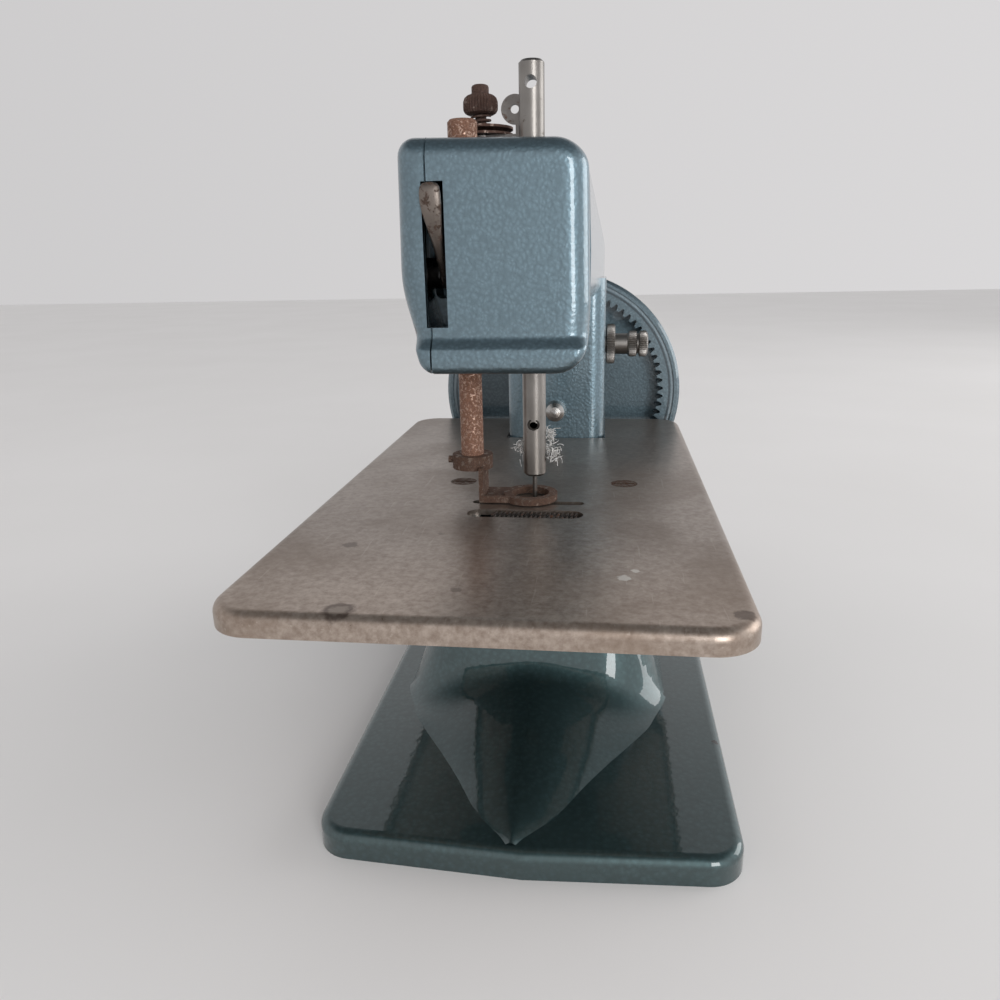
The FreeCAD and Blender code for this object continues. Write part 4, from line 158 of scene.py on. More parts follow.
world = bpy.data.worlds.new("pale_room")
world.use_nodes = True
scene.world = world
room = world.node_tree
backdrop = room.nodes["Background"]
room_axes = add(room, "SeparateXYZ")
join(room, add(room, "TexCoord").outputs["Generated"], room_axes.inputs["Vector"])
wall_to_ceiling = add(room, "ValToRGB")
heights = wall_to_ceiling.color_ramp.elements
heights[0].position, heights[0].color = 0.50, WALL_TONE
heights[1].position, heights[1].color = 0.84, CEILING_TONE
join(room, room_axes.outputs["Z"], wall_to_ceiling.inputs["Fac"])
left_to_right = add(room, "MapRange", From_Min=-0.6, From_Max=0.6, To_Min=0.97, To_Max=1.12)
join(room, room_axes.outputs["X"], left_to_right.inputs["Value"])
join(room, wall_to_ceiling.outputs["Color"], backdrop.inputs["Color"])
join(room, left_to_right.outputs["Result"], backdrop.inputs["Strength"])
print("tones from", WALL_TONE[:3], "up to", CEILING_TONE[:3])


# %% Soft panels and light from above
MACHINE_MIDDLE = (0, 0, 0.15)


def soft_panel(name, spot, aim, width, height, power):
    """A rectangular soft light that faces a point."""
    lamp = bpy.data.lights.new(name, "AREA")
    lamp.shape = "RECTANGLE"
    lamp.size = width
    lamp.size_y = height
    lamp.energy = power
    lamp_object = bpy.data.objects.new(name, lamp)
    scene.collection.objects.link(lamp_object)
    lamp_object.location = spot
    lamp_object.rotation_euler = (Vector(aim) - Vector(spot)).to_track_quat("-Z", "Y").to_euler()


daylight = bpy.data.lights.new("daylight_from_above", "SUN")
daylight.energy = 1.1
daylight.angle = math.radians(100)
daylight_object = bpy.data.objects.new("daylight_from_above", daylight)
daylight_object.rotation_euler = (math.radians(14), math.radians(10), 0)
daylight_object.visible_glossy = False
scene.collection.objects.link(daylight_object)
soft_panel("window_front_right", (0.72, -1.40, 0.40), MACHINE_MIDDLE, 0.5, 1.0, 10)
soft_panel("window_right", (1.3, 0.45, 0.45), MACHINE_MIDDLE, 0.9, 0.8, 6)
scene.view_settings.view_transform = "Standard"
scene.view_settings.look = "None"
print("soft panels: 2, and daylight")

# %% [markdown]
# ## Building blocks for the finishes
# A good metal finish is three layers that share one set of noises: a colour that drifts, a
# roughness that drifts with it, and a height for the bump. The helpers below only shorten the
# node wiring. All noises read object coordinates, which are metres here, so a scale of 300 makes
# features of about three millimetres on every piece alike.

# %% Clouds, cells and the way they are stretched
def noise(tree, where, scale, detail, rough):
    """A grey cloud whose features are 1/scale metres across."""
    made = add(tree, "TexNoise", Scale=scale, Detail=detail, Roughness=rough)
    join(tree, where, made.inputs["Vector"])
    return made.outputs["Fac"]


def cells(tree, where, scale, smooth):
    """Soft round cells, like drops that have run into each other."""
    made = add(tree, "TexVoronoi", {"feature": "SMOOTH_F1"}, Scale=scale, Smoothness=smooth,
               Randomness=1.0)
    join(tree, where, made.inputs["Vector"])
    return made.outputs["Distance"]


def between(tree, value, low, high, start=0.0, end=1.0):
    """Stretches the part of a value between low and high to start and end."""
    made = add(tree, "MapRange", {"interpolation_type": "SMOOTHSTEP"}, From_Min=low, From_Max=high,
               To_Min=start, To_Max=end)
    join(tree, value, made.inputs["Value"])
    return made.outputs["Result"]


# %% Colours and sums
def ramp(tree, value, stops):
    """Colours along a value: stops are (place, (red, green, blue))."""
    made = add(tree, "ValToRGB")
    elements = made.color_ramp.elements
    while len(elements) < len(stops):
        elements.new(0.5)
    for element, (place, colour) in zip(elements, stops):
        element.position = place
        element.color = (*colour, 1)
    join(tree, value, made.inputs["Fac"])
    return made.outputs["Color"]


def blend_colours(tree, share, first, second, mode="MIX"):
    """The second colour over the first, where share is one."""
    made = add(tree, "Mix", {"data_type": "RGBA", "blend_type": mode})
    for value, index in ((share, 0), (first, 6), (second, 7)):
        if hasattr(value, "links"):
            join(tree, value, made.inputs[index])
        else:
            made.inputs[index].default_value = value if index == 0 else (*value, 1)
    return made.outputs[2]


def combine(tree, operation, first, second):
    """One sum or product of two values, each a socket or a number."""
    made = add(tree, "Math", {"operation": operation})
    for index, value in enumerate((first, second)):
        if hasattr(value, "links"):
            join(tree, value, made.inputs[index])
        else:
            made.inputs[index].default_value = value
    return made.outputs[0]


def bump(tree, height, depth, strength, under=None):
    """Turns a height into a surface tilt; depth is in metres. It can lie over another bump."""
    made = add(tree, "Bump", Strength=strength, Distance=depth)
    join(tree, height, made.inputs["Height"])
    if under is not None:
        join(tree, under, made.inputs["Normal"])
    return made.outputs["Normal"]


def shaken(tree, where, scale, amount):
    """Coordinates pushed about by a cloud, so that cells and lines lose their regularity."""
    cloud = add(tree, "TexNoise", Scale=scale, Detail=2)
    join(tree, where, cloud.inputs["Vector"])
    shift = add(tree, "VectorMath", {"operation": "MULTIPLY_ADD"})
    join(tree, cloud.outputs["Color"], shift.inputs[0])
    shift.inputs[1].default_value = (amount, amount, amount)
    join(tree, where, shift.inputs[2])
    return shift.outputs[0]


def times(colour, factor):
    """A paler or deeper version of one colour."""
    return tuple(min(1.0, part * factor) for part in colour)


# %% Stains and chips where the real machine has them
def mark(tree, where, spot, size):
    """One inside a round mark at a spot in mm, zero outside, with a narrow soft edge."""
    gap = add(tree, "VectorMath", {"operation": "DISTANCE"})
    join(tree, where, gap.inputs[0])
    gap.inputs[1].default_value = tuple(part * MM for part in spot)
    return between(tree, gap.outputs["Value"], size * MM * 0.75, size * MM * 1.15, 1.0, 0.0)


def painted_marks(tree, where, colour, marks):
    """Lays small ragged marks over a colour: each is (spot, size, mark colour, strength)."""
    wander = 0.0022
    ragged = shaken(tree, where, 700, wander)
    centred = add(tree, "VectorMath", {"operation": "SUBTRACT"})
    join(tree, ragged, centred.inputs[0])
    centred.inputs[1].default_value = (wander / 2, wander / 2, wander / 2)
    for spot, size, tint, strength in marks:
        share = combine(tree, "MULTIPLY", mark(tree, centred.outputs[0], spot, size), strength)
        colour = blend_colours(tree, share, colour, tint)
    return colour


print("helpers ready")

# %% [markdown]
# ## Hammered paint
# Hammer paint is sprayed in one coat that pulls itself into shallow dimples while it dries, and
# its metal flakes gather in them. So one pattern of small soft cells drives everything: the
# dimples' bump, a paler colour where the flakes lie, and fine dark pits. On this machine the
# dimples are only a millimetre or so wide and low in contrast, and a clear layer on top keeps
# the broad sharp reflections that the casting shows. Two chips on the base reach dark iron. The
# hollow of the head gets painted shade: a box in the head's own place turns the paint there to
# near-black iron, which is why the lifter's slot looks black.

# %% Painted shade inside the head
# near-black iron: the colour of the chips on the base and of the painted shade in the head's
# hollow
IRON_AND_HOLLOW_SHADE = (0.012, 0.011, 0.011)
HOLLOW_SHADE_BOX = {"X": (-31.0, 11.0), "Y": (-41.6, -22.0), "Z": (127.0, 168.0)}


def hollow_shade_share(tree, where):
    """One inside the head's hollow, where shade is painted in, and zero elsewhere."""
    axes = add(tree, "SeparateXYZ")
    join(tree, where, axes.inputs["Vector"])
    share = None
    for axis, (low, high) in HOLLOW_SHADE_BOX.items():
        rising = between(tree, axes.outputs[axis], low * MM, (low + 0.4) * MM)
        falling = between(tree, axes.outputs[axis], (high - 0.4) * MM, high * MM, 1.0, 0.0)
        both = combine(tree, "MULTIPLY", rising, falling)
        share = both if share is None else combine(tree, "MULTIPLY", share, both)
    return share


# %% The paint of the castings
FLAKE_SHARE = 0.9


def hammered_paint(name, colour, clear_rough, bend, under_shine, contrast, dimple=640,
                   relief=0.00007, under_rough=0.42, chips=(), shade_inside=False):
    """Metal flake that dried in dimples, under a clear layer that mirrors the room."""
    finish, tree, shader = fresh_finish(name)
    where = add(tree, "TexCoord").outputs["Object"]
    drops = cells(tree, shaken(tree, where, 280, 0.0018), dimple, 0.5)
    fine = noise(tree, where, 1700, 3, 0.6)
    patchy = noise(tree, where, 22, 3, 0.55)
    pits = noise(tree, where, 2300, 2, 0.65)
    tone = combine(tree, "ADD", combine(tree, "MULTIPLY", drops, 0.8),
                   combine(tree, "MULTIPLY", fine, 0.5))
    shade = ramp(tree, tone, [(0.28, times(colour, 1 + 0.24 * contrast)), (0.52, colour),
                              (0.80, times(colour, 1 - 0.22 * contrast))])
    shade = blend_colours(tree, between(tree, patchy, 0.35, 0.72, 0.0, 0.5), shade,
                          times(colour, 0.90))
    pit_share = combine(tree, "MULTIPLY", between(tree, pits, 0.66, 0.74), 0.55 * contrast)
    shade = blend_colours(tree, pit_share, shade, times(colour, 0.35))
    if chips:
        shade = painted_marks(tree, where, shade, chips)
    if shade_inside:
        # painted shade: the paint turns near-black inside the head's hollow
        shade = blend_colours(tree, hollow_shade_share(tree, where), shade, IRON_AND_HOLLOW_SHADE)
    join(tree, shade, shader.inputs["Base Color"])
    rough = combine(tree, "ADD", between(tree, patchy, 0.3, 0.8, under_rough, under_rough + 0.08),
                    combine(tree, "MULTIPLY", fine, 0.08))
    join(tree, rough, shader.inputs["Roughness"])
    first = bump(tree, drops, relief, 0.8)
    join(tree, bump(tree, fine, relief * 0.2, 0.7, first), shader.inputs["Normal"])
    coat_height = bump(tree, drops, relief * 0.35, 0.6)
    join(tree, coat_height, shader.inputs["Coat Normal"])
    shader.inputs["Metallic"].default_value = FLAKE_SHARE
    shader.inputs["Coat Weight"].default_value = 1.0
    shader.inputs["Coat Roughness"].default_value = clear_rough
    shader.inputs["Coat IOR"].default_value = bend
    shader.inputs["Specular IOR Level"].default_value = under_shine
    return finish


# %% Three coats from one recipe
arm_paint = hammered_paint("hammered_blue_grey", (0.160, 0.240, 0.285), clear_rough=0.08,
                           bend=1.6, under_shine=0.3, dimple=980, relief=0.00009, contrast=0.75,
                           under_rough=0.36, shade_inside=True)
base_chips = [((52.2, -36.4, 7.6), 1.1, IRON_AND_HOLLOW_SHADE, 1.0), ((-53.3, -53.1, 7.6), 0.9, IRON_AND_HOLLOW_SHADE, 1.0)]
# the base gets a greener and much darker coat than the arm: partly its own paint, partly painted
# shade for its place under the work plate
shaded_base_paint = hammered_paint("hammered_green_grey_with_shade", (0.056, 0.100, 0.105), clear_rough=0.035,
                            relief=0.00004, contrast=0.8, bend=1.68, under_shine=0.25,
                            chips=base_chips)
wheel_paint = hammered_paint("hammered_wheel", (0.130, 0.185, 0.215), clear_rough=0.10, bend=1.6,
                             under_shine=0.3, dimple=980, contrast=0.8)
print("paints:", arm_paint.name, shaded_base_paint.name, wheel_paint.name)

# %% [markdown]
# ## The wheel's rim
# The wheel was cast with a raised rim, and a narrow groove was turned near its edge. Its colour
# has painted shade in the groove and a painted highlight on the lip, so the rim shows one dark
# and one pale ring. Both follow from the distance to the axle, measured in the wheel's own plane.

# %% Painted shade and highlight rings on the rim
GROOVE_FROM_EDGE, GROOVE_WIDTH = 0.0042, 0.0006
LIP_FROM_EDGE, LIP_WIDTH = 0.0031, 0.0005

low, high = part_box("handwheel")
axle_spot = Vector(((low[0] + high[0]) / 2, 0.0, (low[2] + high[2]) / 2))
wheel_radius = (high[2] - low[2]) / 2
tree = wheel_paint.node_tree
shader = tree.nodes["Principled BSDF"]
flat_spot = add(tree, "VectorMath", {"operation": "MULTIPLY"})
join(tree, add(tree, "TexCoord").outputs["Object"], flat_spot.inputs[0])
flat_spot.inputs[1].default_value = (1, 0, 1)
from_axle = add(tree, "VectorMath", {"operation": "DISTANCE"})
join(tree, flat_spot.outputs[0], from_axle.inputs[0])
from_axle.inputs[1].default_value = axle_spot
reach = from_axle.outputs["Value"]


def ring(centre, width):
    """One on a ring at a distance from the axle, zero off it, in metres."""
    rising = between(tree, reach, centre - width, centre - width * 0.4)
    falling = between(tree, reach, centre + width * 0.4, centre + width, 1.0, 0.0)
    return combine(tree, "MULTIPLY", rising, falling)


old_colour = shader.inputs["Base Color"].links[0].from_socket
groove_shade = ring(wheel_radius - GROOVE_FROM_EDGE, GROOVE_WIDTH)
lip_highlight = ring(wheel_radius - LIP_FROM_EDGE, LIP_WIDTH)
# painted shade in the groove, then a painted highlight on its lip
shade = blend_colours(tree, combine(tree, "MULTIPLY", groove_shade, 0.75), old_colour,
                      (0.022, 0.032, 0.040))
shade = blend_colours(tree, combine(tree, "MULTIPLY", lip_highlight, 0.55), shade, (0.30, 0.36, 0.40))
join(tree, shade, shader.inputs["Base Color"])
print("wheel radius:", round(wheel_radius * 1000, 2), "mm")

# %% [markdown]
# ## The work plate
# The plate was plated sheet steel. Most of the plating has gone dull and brown, with a fine
# mottle, long faint scratches from cloth and pins, darker stains, and a paler rub along the
# front. It still mirrors the head as a soft dark shape, so it stays metallic and its roughness
# is middling, never high. The larger stains and nicks lie where the photograph shows them.

# %% Worn plating of the work plate
BROWN = (0.060, 0.036, 0.026)
PALE = (0.66, 0.62, 0.57)
plate_marks = [
    ((-33.2, -107.6, 80), 3.4, BROWN, 0.7), ((-33.2, -107.6, 80), 2.0, (0.30, 0.25, 0.21), 0.8),
    ((22.8, -87.1, 80), 1.5, PALE, 0.9), ((25.4, -82.9, 80), 1.1, PALE, 0.9),
    ((45.0, -103.4, 80), 2.2, BROWN, 0.6), ((33.1, -111.9, 80), 1.6, BROWN, 0.6),
    ((-42.3, -71.4, 80), 1.9, BROWN, 0.55), ((-12.0, -96.0, 80), 1.2, BROWN, 0.4),
    ((8.0, -112.0, 80), 1.0, BROWN, 0.5), ((-22.0, -62.0, 80), 0.9, BROWN, 0.4)]


def worn_plating(name):
    """Dull brown plating with a mottle, scratches, a rubbed front and some stains."""
    finish, tree, shader = fresh_finish(name)
    where = add(tree, "TexCoord").outputs["Object"]
    mottle = noise(tree, where, 620, 5, 0.65)
    clouds = noise(tree, shaken(tree, where, 30, 0.02), 26, 4, 0.6)
    grain = noise(tree, where, 2600, 3, 0.6)
    colour = ramp(tree, mottle, [(0.30, (0.225, 0.180, 0.150)), (0.50, (0.310, 0.260, 0.225)),
                                 (0.72, (0.400, 0.345, 0.305))])
    colour = blend_colours(tree, between(tree, clouds, 0.42, 0.70, 0.0, 0.55), colour,
                           (0.215, 0.165, 0.130))
    stretched = add(tree, "Mapping")
    stretched.inputs["Scale"].default_value = (1.0, 0.06, 1.0)
    stretched.inputs["Rotation"].default_value = (0, 0, 0.35)
    join(tree, where, stretched.inputs["Vector"])
    scratch = noise(tree, stretched.outputs["Vector"], 900, 2, 0.5)
    lines = between(tree, scratch, 0.66, 0.72, 0.0, 1.0)
    colour = blend_colours(tree, combine(tree, "MULTIPLY", lines, 0.25), colour,
                           (0.52, 0.47, 0.42))
    axes = add(tree, "SeparateXYZ")
    join(tree, where, axes.inputs["Vector"])
    rub = between(tree, axes.outputs["Y"], -0.118, -0.055, 0.80, 0.0)
    colour = blend_colours(tree, rub, colour, (1.42, 1.38, 1.34), "MULTIPLY")
    colour = painted_marks(tree, where, colour, plate_marks)
    join(tree, colour, shader.inputs["Base Color"])
    rough = combine(tree, "ADD", between(tree, clouds, 0.3, 0.75, 0.24, 0.34),
                    combine(tree, "MULTIPLY", mottle, 0.12))
    join(tree, rough, shader.inputs["Roughness"])
    low_relief = bump(tree, mottle, 0.00006, 0.6)
    join(tree, bump(tree, grain, 0.00002, 0.5, low_relief), shader.inputs["Normal"])
    shader.inputs["Metallic"].default_value = 0.85
    return finish


plate_finish = worn_plating("worn_plating")
print("plate finish:", plate_finish.name, "with", len(plate_marks), "marks")

# %% [markdown]
# ## Rust, nickel and bare steel
# The presser bar, its foot and the thread tension have lost their plating to rust: brown and
# copper with bright specks where nickel is left. The needle bar and the thumb screw kept theirs,
# only dulled. One function makes both ends of that scale, with the share of rust as its dial.

# %% Plated steel with a share of rust
FRESH_RUST = ((0.10, 0.045, 0.028), (0.25, 0.125, 0.075))


def plated_steel(name, metal, rust_share, shine, rust=FRESH_RUST, grain=700):
    """Plating where rust has taken a share; shine is the roughness of what is left."""
    finish, tree, shader = fresh_finish(name)
    where = add(tree, "TexCoord").outputs["Object"]
    patches = noise(tree, shaken(tree, where, 300, 0.003), grain, 5, 0.68)
    fine = noise(tree, where, 2600, 4, 0.7)
    soft = noise(tree, where, 120, 3, 0.5)
    bare = ramp(tree, soft, [(0.3, times(metal, 0.72)), (0.7, metal)])
    rusty = ramp(tree, fine, [(0.3, rust[0]), (0.7, rust[1])])
    edge = 0.72 - 0.5 * rust_share
    share = between(tree, patches, edge - 0.05, edge + 0.06)
    if rust_share <= 0:
        share = between(tree, patches, 0.8, 0.95, 0.0, 0.5)
    join(tree, blend_colours(tree, share, bare, rusty), shader.inputs["Base Color"])
    join(tree, between(tree, share, 0.0, 1.0, 0.96, 0.35), shader.inputs["Metallic"])
    rough = combine(tree, "ADD", between(tree, share, 0.0, 1.0, shine, 0.72),
                    combine(tree, "MULTIPLY", soft, 0.1))
    join(tree, rough, shader.inputs["Roughness"])
    raised = combine(tree, "ADD", combine(tree, "MULTIPLY", share, 0.6),
                     combine(tree, "MULTIPLY", fine, 0.6))
    join(tree, bump(tree, raised, 0.00007, 0.8), shader.inputs["Normal"])
    return finish


# %% The bars, the tension, the screws and the bushes
rusty_bar = plated_steel("rusty_plated_bar", (0.55, 0.38, 0.30), 0.55, 0.34,
                         ((0.13, 0.060, 0.042), (0.32, 0.17, 0.11)), 1300)
rusty_foot = plated_steel("rusty_foot", (0.30, 0.235, 0.195), 0.62, 0.40,
                          ((0.050, 0.028, 0.020), (0.15, 0.085, 0.058)))
rusty_nut = plated_steel("rusty_knurling", (0.26, 0.20, 0.175), 0.66, 0.48,
                         ((0.035, 0.022, 0.018), (0.12, 0.066, 0.050)), 520)
brown_discs = plated_steel("browned_discs", (0.34, 0.26, 0.22), 0.58, 0.42,
                           ((0.050, 0.028, 0.022), (0.15, 0.080, 0.058)), 520)
grey_guide = plated_steel("dull_guide_sheet", (0.30, 0.28, 0.265), 0.20, 0.36)
dull_nickel = plated_steel("dull_nickel", (0.31, 0.293, 0.275), 0.10, 0.30,
                           ((0.09, 0.07, 0.055), (0.20, 0.165, 0.14)), 420)
dark_steel = plated_steel("dark_steel", (0.16, 0.15, 0.14), 0.25, 0.38)
bright_steel = plated_steel("bright_steel", (0.66, 0.65, 0.63), 0.0, 0.20)
bronze = plated_steel("bronze", (0.50, 0.34, 0.15), 0.0, 0.3,
                      ((0.12, 0.07, 0.03), (0.2, 0.13, 0.06)))
plate_screw_finish = plated_steel("rusty_screw_heads", (0.20, 0.150, 0.115), 0.5, 0.42,
                                  ((0.040, 0.022, 0.016), (0.11, 0.06, 0.04)))
print("materials so far:", len(bpy.data.materials))

# %% [markdown]
# ## The handle
# The crank handle isn't in view in the photograph. Such handles are turned wood in dark lacquer,
# so the grain runs along its length: a noise stretched a lot in one direction.

# %% Dark lacquered wood
handle_finish, tree, shader = fresh_finish("dark_lacquered_wood")
where = add(tree, "TexCoord").outputs["Object"]
long_way = add(tree, "Mapping")
long_way.inputs["Scale"].default_value = (1, 0.08, 1)
join(tree, where, long_way.inputs["Vector"])
fibre = noise(tree, long_way.outputs["Vector"], 900, 5, 0.6)
join(tree, ramp(tree, fibre, [(0.3, (0.010, 0.007, 0.006)), (0.7, (0.035, 0.020, 0.014))]),
     shader.inputs["Base Color"])
join(tree, between(tree, fibre, 0.2, 0.8, 0.22, 0.36), shader.inputs["Roughness"])
join(tree, bump(tree, fibre, 0.00005, 0.5), shader.inputs["Normal"])
shader.inputs["Coat Weight"].default_value = 0.5
shader.inputs["Coat Roughness"].default_value = 0.1
print("finishes:", len(bpy.data.materials))

# %% [markdown]
# ## Give each solid its finish
# The solids come with a plain placeholder. Each gets its own finish in its material slots; its
# mesh stays as it is. Whatever isn't named here is inner machinery, and gets plain dark steel.

# %% Finishes by node
finish_of = {
    "base_casting": shaded_base_paint, "lower_arm": shaded_base_paint, "arm_casting": arm_paint,
    "rear_cover": arm_paint, "handwheel": wheel_paint, "work_plate": plate_finish,
    "work_plate_screws": plate_screw_finish, "presser_bar": rusty_bar, "presser_foot": rusty_foot,
    "presser_collar": dark_steel, "foot_screw": rusty_foot, "tension_stud": rusty_nut,
    "thread_guide": grey_guide, "lower_tension_disc": brown_discs,
    "upper_tension_disc": brown_discs, "tension_spring": rusty_nut, "tension_nut": rusty_nut,
    "lifter_lever": grey_guide, "needle_bar": dull_nickel, "needle": dark_steel,
    "needle_set_screw": dark_steel, "stitch_length_screw": dull_nickel,
    "stitch_lock_disc": dull_nickel, "wheel_axle": bright_steel, "front_bush": bronze,
    "rear_bush": bronze, "pinion": bronze, "eccentric": bronze, "cover_screws": dull_nickel,
    "frame_screws": dull_nickel, "axle_nut": dull_nickel, "front_washer": dull_nickel,
    "rear_washer": dull_nickel, "handle_stud": wheel_paint, "handle_grip": handle_finish,
}
for name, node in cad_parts.items():
    finish = finish_of.get(name, dark_steel)
    if node.data.materials:
        for index in range(len(node.data.materials)):
            node.data.materials[index] = finish
    else:
        node.data.materials.append(finish)
print("dressed:", len(finish_of), "of", len(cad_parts), "by name, the rest in dark steel")

# %% [markdown]
# ## The low ridge and the cove of the base
# On the casting the ridge is a low keel with hollow-looking flanks that widens to the back and
# runs up into the pedestal without an edge. The construction model has its main planes. This
# skin lies a third of a millimetre over them and adds the flow: a grid whose columns fan out
# with the ridge, and whose height is the rounded-off larger of two forms, keel and cove. The
# glossy paint mirrors the plate's dark underside and the bright room in it, so its smoothness
# matters more than its exact height.

# %% Measure the ridge and the cove
PLATE_TOP = 7.6
RIDGE_MIDDLE = -3.0
RIDGE_START = -85.4
RIDGE_RISE = 10.0
WALL_Y = -12.0
COVE = 26.0
COVE_FOOT = 5.9
COVE_TOP = 46.0
COVE_CORNER = 12.0
HALF_WIDTH = 43.0
TAPER = 14.0
OVER = 0.38
CREST_OVER = 0.3
FLANK_BEND = 1.6
FOOT_FALL = 0.25
HALVINGS = 26
# each row: how far back from the ridge's tip, its half width and its height, as shares
ridge_rows = [(0.0, 0.0, 0.0), (0.01, 0.02, 0.01), (0.15, 0.24, 0.13), (0.35, 0.42, 0.31),
              (0.57, 0.65, 0.55), (0.75, 0.80, 0.73), (1.0, 0.90, 1.0)]


def follow(rows, place, column):
    """Reads one column of rows at a place, straight between them."""
    for first, second in zip(rows, rows[1:]):
        if place <= second[0]:
            share = (place - first[0]) / (second[0] - first[0])
            return first[column] + (second[column] - first[column]) * share
    return rows[-1][column]


def smooth_follow(rows, place, column):
    """The same, averaged over a twentieth to each side so that no kink is left."""
    spots = [min(max(place + 0.05 * step / 4, 0.0), 1.0) for step in range(-4, 5)]
    return sum(follow(rows, spot, column) for spot in spots) / len(spots)


# %% Two forms and the way they run together
def keel_height(x, y):
    """Height of the ridge in mm, and below the plate outside it."""
    place = min(max((y - RIDGE_START) / (WALL_Y - RIDGE_START), 0.0), 1.0)
    half = max(HALF_WIDTH * smooth_follow(ridge_rows, place, 1), 0.5)
    peak = RIDGE_RISE * smooth_follow(ridge_rows, place, 2)
    off = abs(x - RIDGE_MIDDLE) / half
    edge_over = OVER * 0.6 * (1 - off)
    return PLATE_TOP + edge_over + (peak + CREST_OVER) * (1 - off ** FLANK_BEND)


def outside_contour(x, y, rise):
    """How far a point lies outside the pedestal's outline at a share of its rise, in mm."""
    back = COVE * (1 - math.sqrt(max(1 - (1 - rise) ** 2, 0)))
    front = WALL_Y - back - OVER
    half = HALF_WIDTH - TAPER * rise + OVER
    turn = COVE_CORNER + (COVE - COVE_CORNER) * (1 - rise) ** 2
    across = abs(x - RIDGE_MIDDLE) - (half - turn)
    along = (front + turn) - y
    if across > 0 and along > 0:
        return math.hypot(across, along) - turn
    return max(across, along) - turn


def cove_height(x, y):
    """Height of the cove in mm: the contour through a point, found by halving."""
    gap = outside_contour(x, y, 0.0)
    if gap > 0:
        return COVE_FOOT - FOOT_FALL * gap
    low_share, high_share = 0.0, 1.0
    for step in range(HALVINGS):
        middle = (low_share + high_share) / 2
        if outside_contour(x, y, middle) <= 0:
            low_share = middle
        else:
            high_share = middle
    return COVE_FOOT + (COVE_TOP - COVE_FOOT) * low_share


def rounded_larger(first, second, width):
    """The larger of two heights, with a soft join of some width where they meet."""
    share = max(width - abs(first - second), 0.0) / width
    return max(first, second) + share * share * width / 4


print("at y = -40 the ridge is", round(keel_height(RIDGE_MIDDLE, -40.0), 2), "mm high, the cove",
      round(cove_height(RIDGE_MIDDLE, -40.0), 2), "mm")

# %% Rows for the skin, closer together where the cove is steep
FLAT_ROW_GAP = 1.2
STEEP_ROWS = 34
COLUMNS = 90
SOFT_JOIN = 5.0
WIDE_FROM = -42
WIDE_HALF = 45.0

row_places = [RIDGE_START + 0.4 + FLAT_ROW_GAP * step for step in range(37)]
row_places = [y for y in row_places if y < WALL_Y - COVE - 1]
for step in range(STEEP_ROWS + 1):
    swing = math.pi / 2 * step / STEEP_ROWS
    row_places.append(WALL_Y - OVER - COVE * (1 - math.sin(swing)))
print("rows:", len(row_places), "from", round(row_places[0], 1), "to", round(row_places[-1], 1))

# %% Lay the skin over the ridge and the cove
skin = bmesh.new()
grid = []
for y in row_places:
    place = (y - RIDGE_START) / (WALL_Y - RIDGE_START)
    fan = max(HALF_WIDTH * smooth_follow(ridge_rows, place, 1) * 1.06 + 0.6, 1.0)
    wide = 1 / (1 + math.exp(-(y - WIDE_FROM) / 3.0))
    fan = fan * (1 - wide) + max(fan, WIDE_HALF) * wide
    row = []
    for column in range(COLUMNS + 1):
        x = RIDGE_MIDDLE + fan * (2 * column / COLUMNS - 1)
        height = rounded_larger(keel_height(x, y), cove_height(x, y), SOFT_JOIN)
        height = min(height, COVE_TOP - 0.1)
        row.append(skin.verts.new((x * MM, y * MM, height * MM)))
    grid.append(row)
for lower, upper in zip(grid, grid[1:]):
    for column in range(COLUMNS):
        corners = (lower[column], lower[column + 1], upper[column + 1], upper[column])
        if max(corner.co.z for corner in corners) > (PLATE_TOP - 0.6) * MM:
            skin.faces.new(corners)
bmesh.ops.delete(skin, geom=[v for v in skin.verts if not v.link_faces], context="VERTS")
print("points in the skin:", len(skin.verts))


# %% Put the skin on the base
def placed(name, mesh, finish, smooth_below=None):
    """Puts a mesh into the scene, smooth except where its faces meet at more than an angle."""
    data = bpy.data.meshes.new(name)
    mesh.to_mesh(data)
    mesh.free()
    data.materials.append(finish)
    for face in data.polygons:
        face.use_smooth = True
    if smooth_below is not None:
        data.set_sharp_from_angle(angle=math.radians(smooth_below))
    made = bpy.data.objects.new(name, data)
    scene.collection.objects.link(made)
    return made


base_flow = placed("base_ridge_and_cove", skin, shaded_base_paint)
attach(base_flow, "frame")
print("skin faces:", len(base_flow.data.polygons))

# %% [markdown]
# ## Turned and knurled pieces
# A knurled screw is turned on a lathe and then pressed with a toothed wheel. In mesh form that
# is a profile swept round an axis, with its radius waved many times per turn wherever the
# knurling wheel ran. A texture could fake the waves, but the silhouette would stay smooth, so
# they are modelled. Each row of the profile says how deep its waves are.

# %% A lathe that can knurl
TOOTH_STEPS = 6
PLAIN_STEPS = 36


def turned(name, profile, centre, axis, finish, teeth=0):
    """Sweeps rows of (along, radius, wave depth) round an axis through a centre, in mm."""
    steps = teeth * TOOTH_STEPS if teeth else PLAIN_STEPS
    along_axis = Vector(axis)
    side = along_axis.orthogonal().normalized()
    other = along_axis.cross(side)
    mesh = bmesh.new()
    loops = []
    for along, radius, wave in profile:
        loop = []
        for step in range(steps):
            turn = 2 * math.pi * step / steps
            ripple = wave * abs((step / TOOTH_STEPS) % 1 - 0.5) * 2
            far = max(radius - ripple, 0.0001)
            spot = Vector(centre) + along_axis * along
            spot += (side * math.cos(turn) + other * math.sin(turn)) * far
            loop.append(mesh.verts.new(spot * MM))
        loops.append(loop)
    for lower, upper in zip(loops, loops[1:]):
        for step in range(steps):
            after = (step + 1) % steps
            mesh.faces.new((lower[step], lower[after], upper[after], upper[step]))
    mesh.faces.new(reversed(loops[0]))
    mesh.faces.new(loops[-1])
    bmesh.ops.recalc_face_normals(mesh, faces=mesh.faces)
    return placed(name, mesh, finish, 32)


# %% Turn the nut of the thread tension
NUT_TEETH = 34

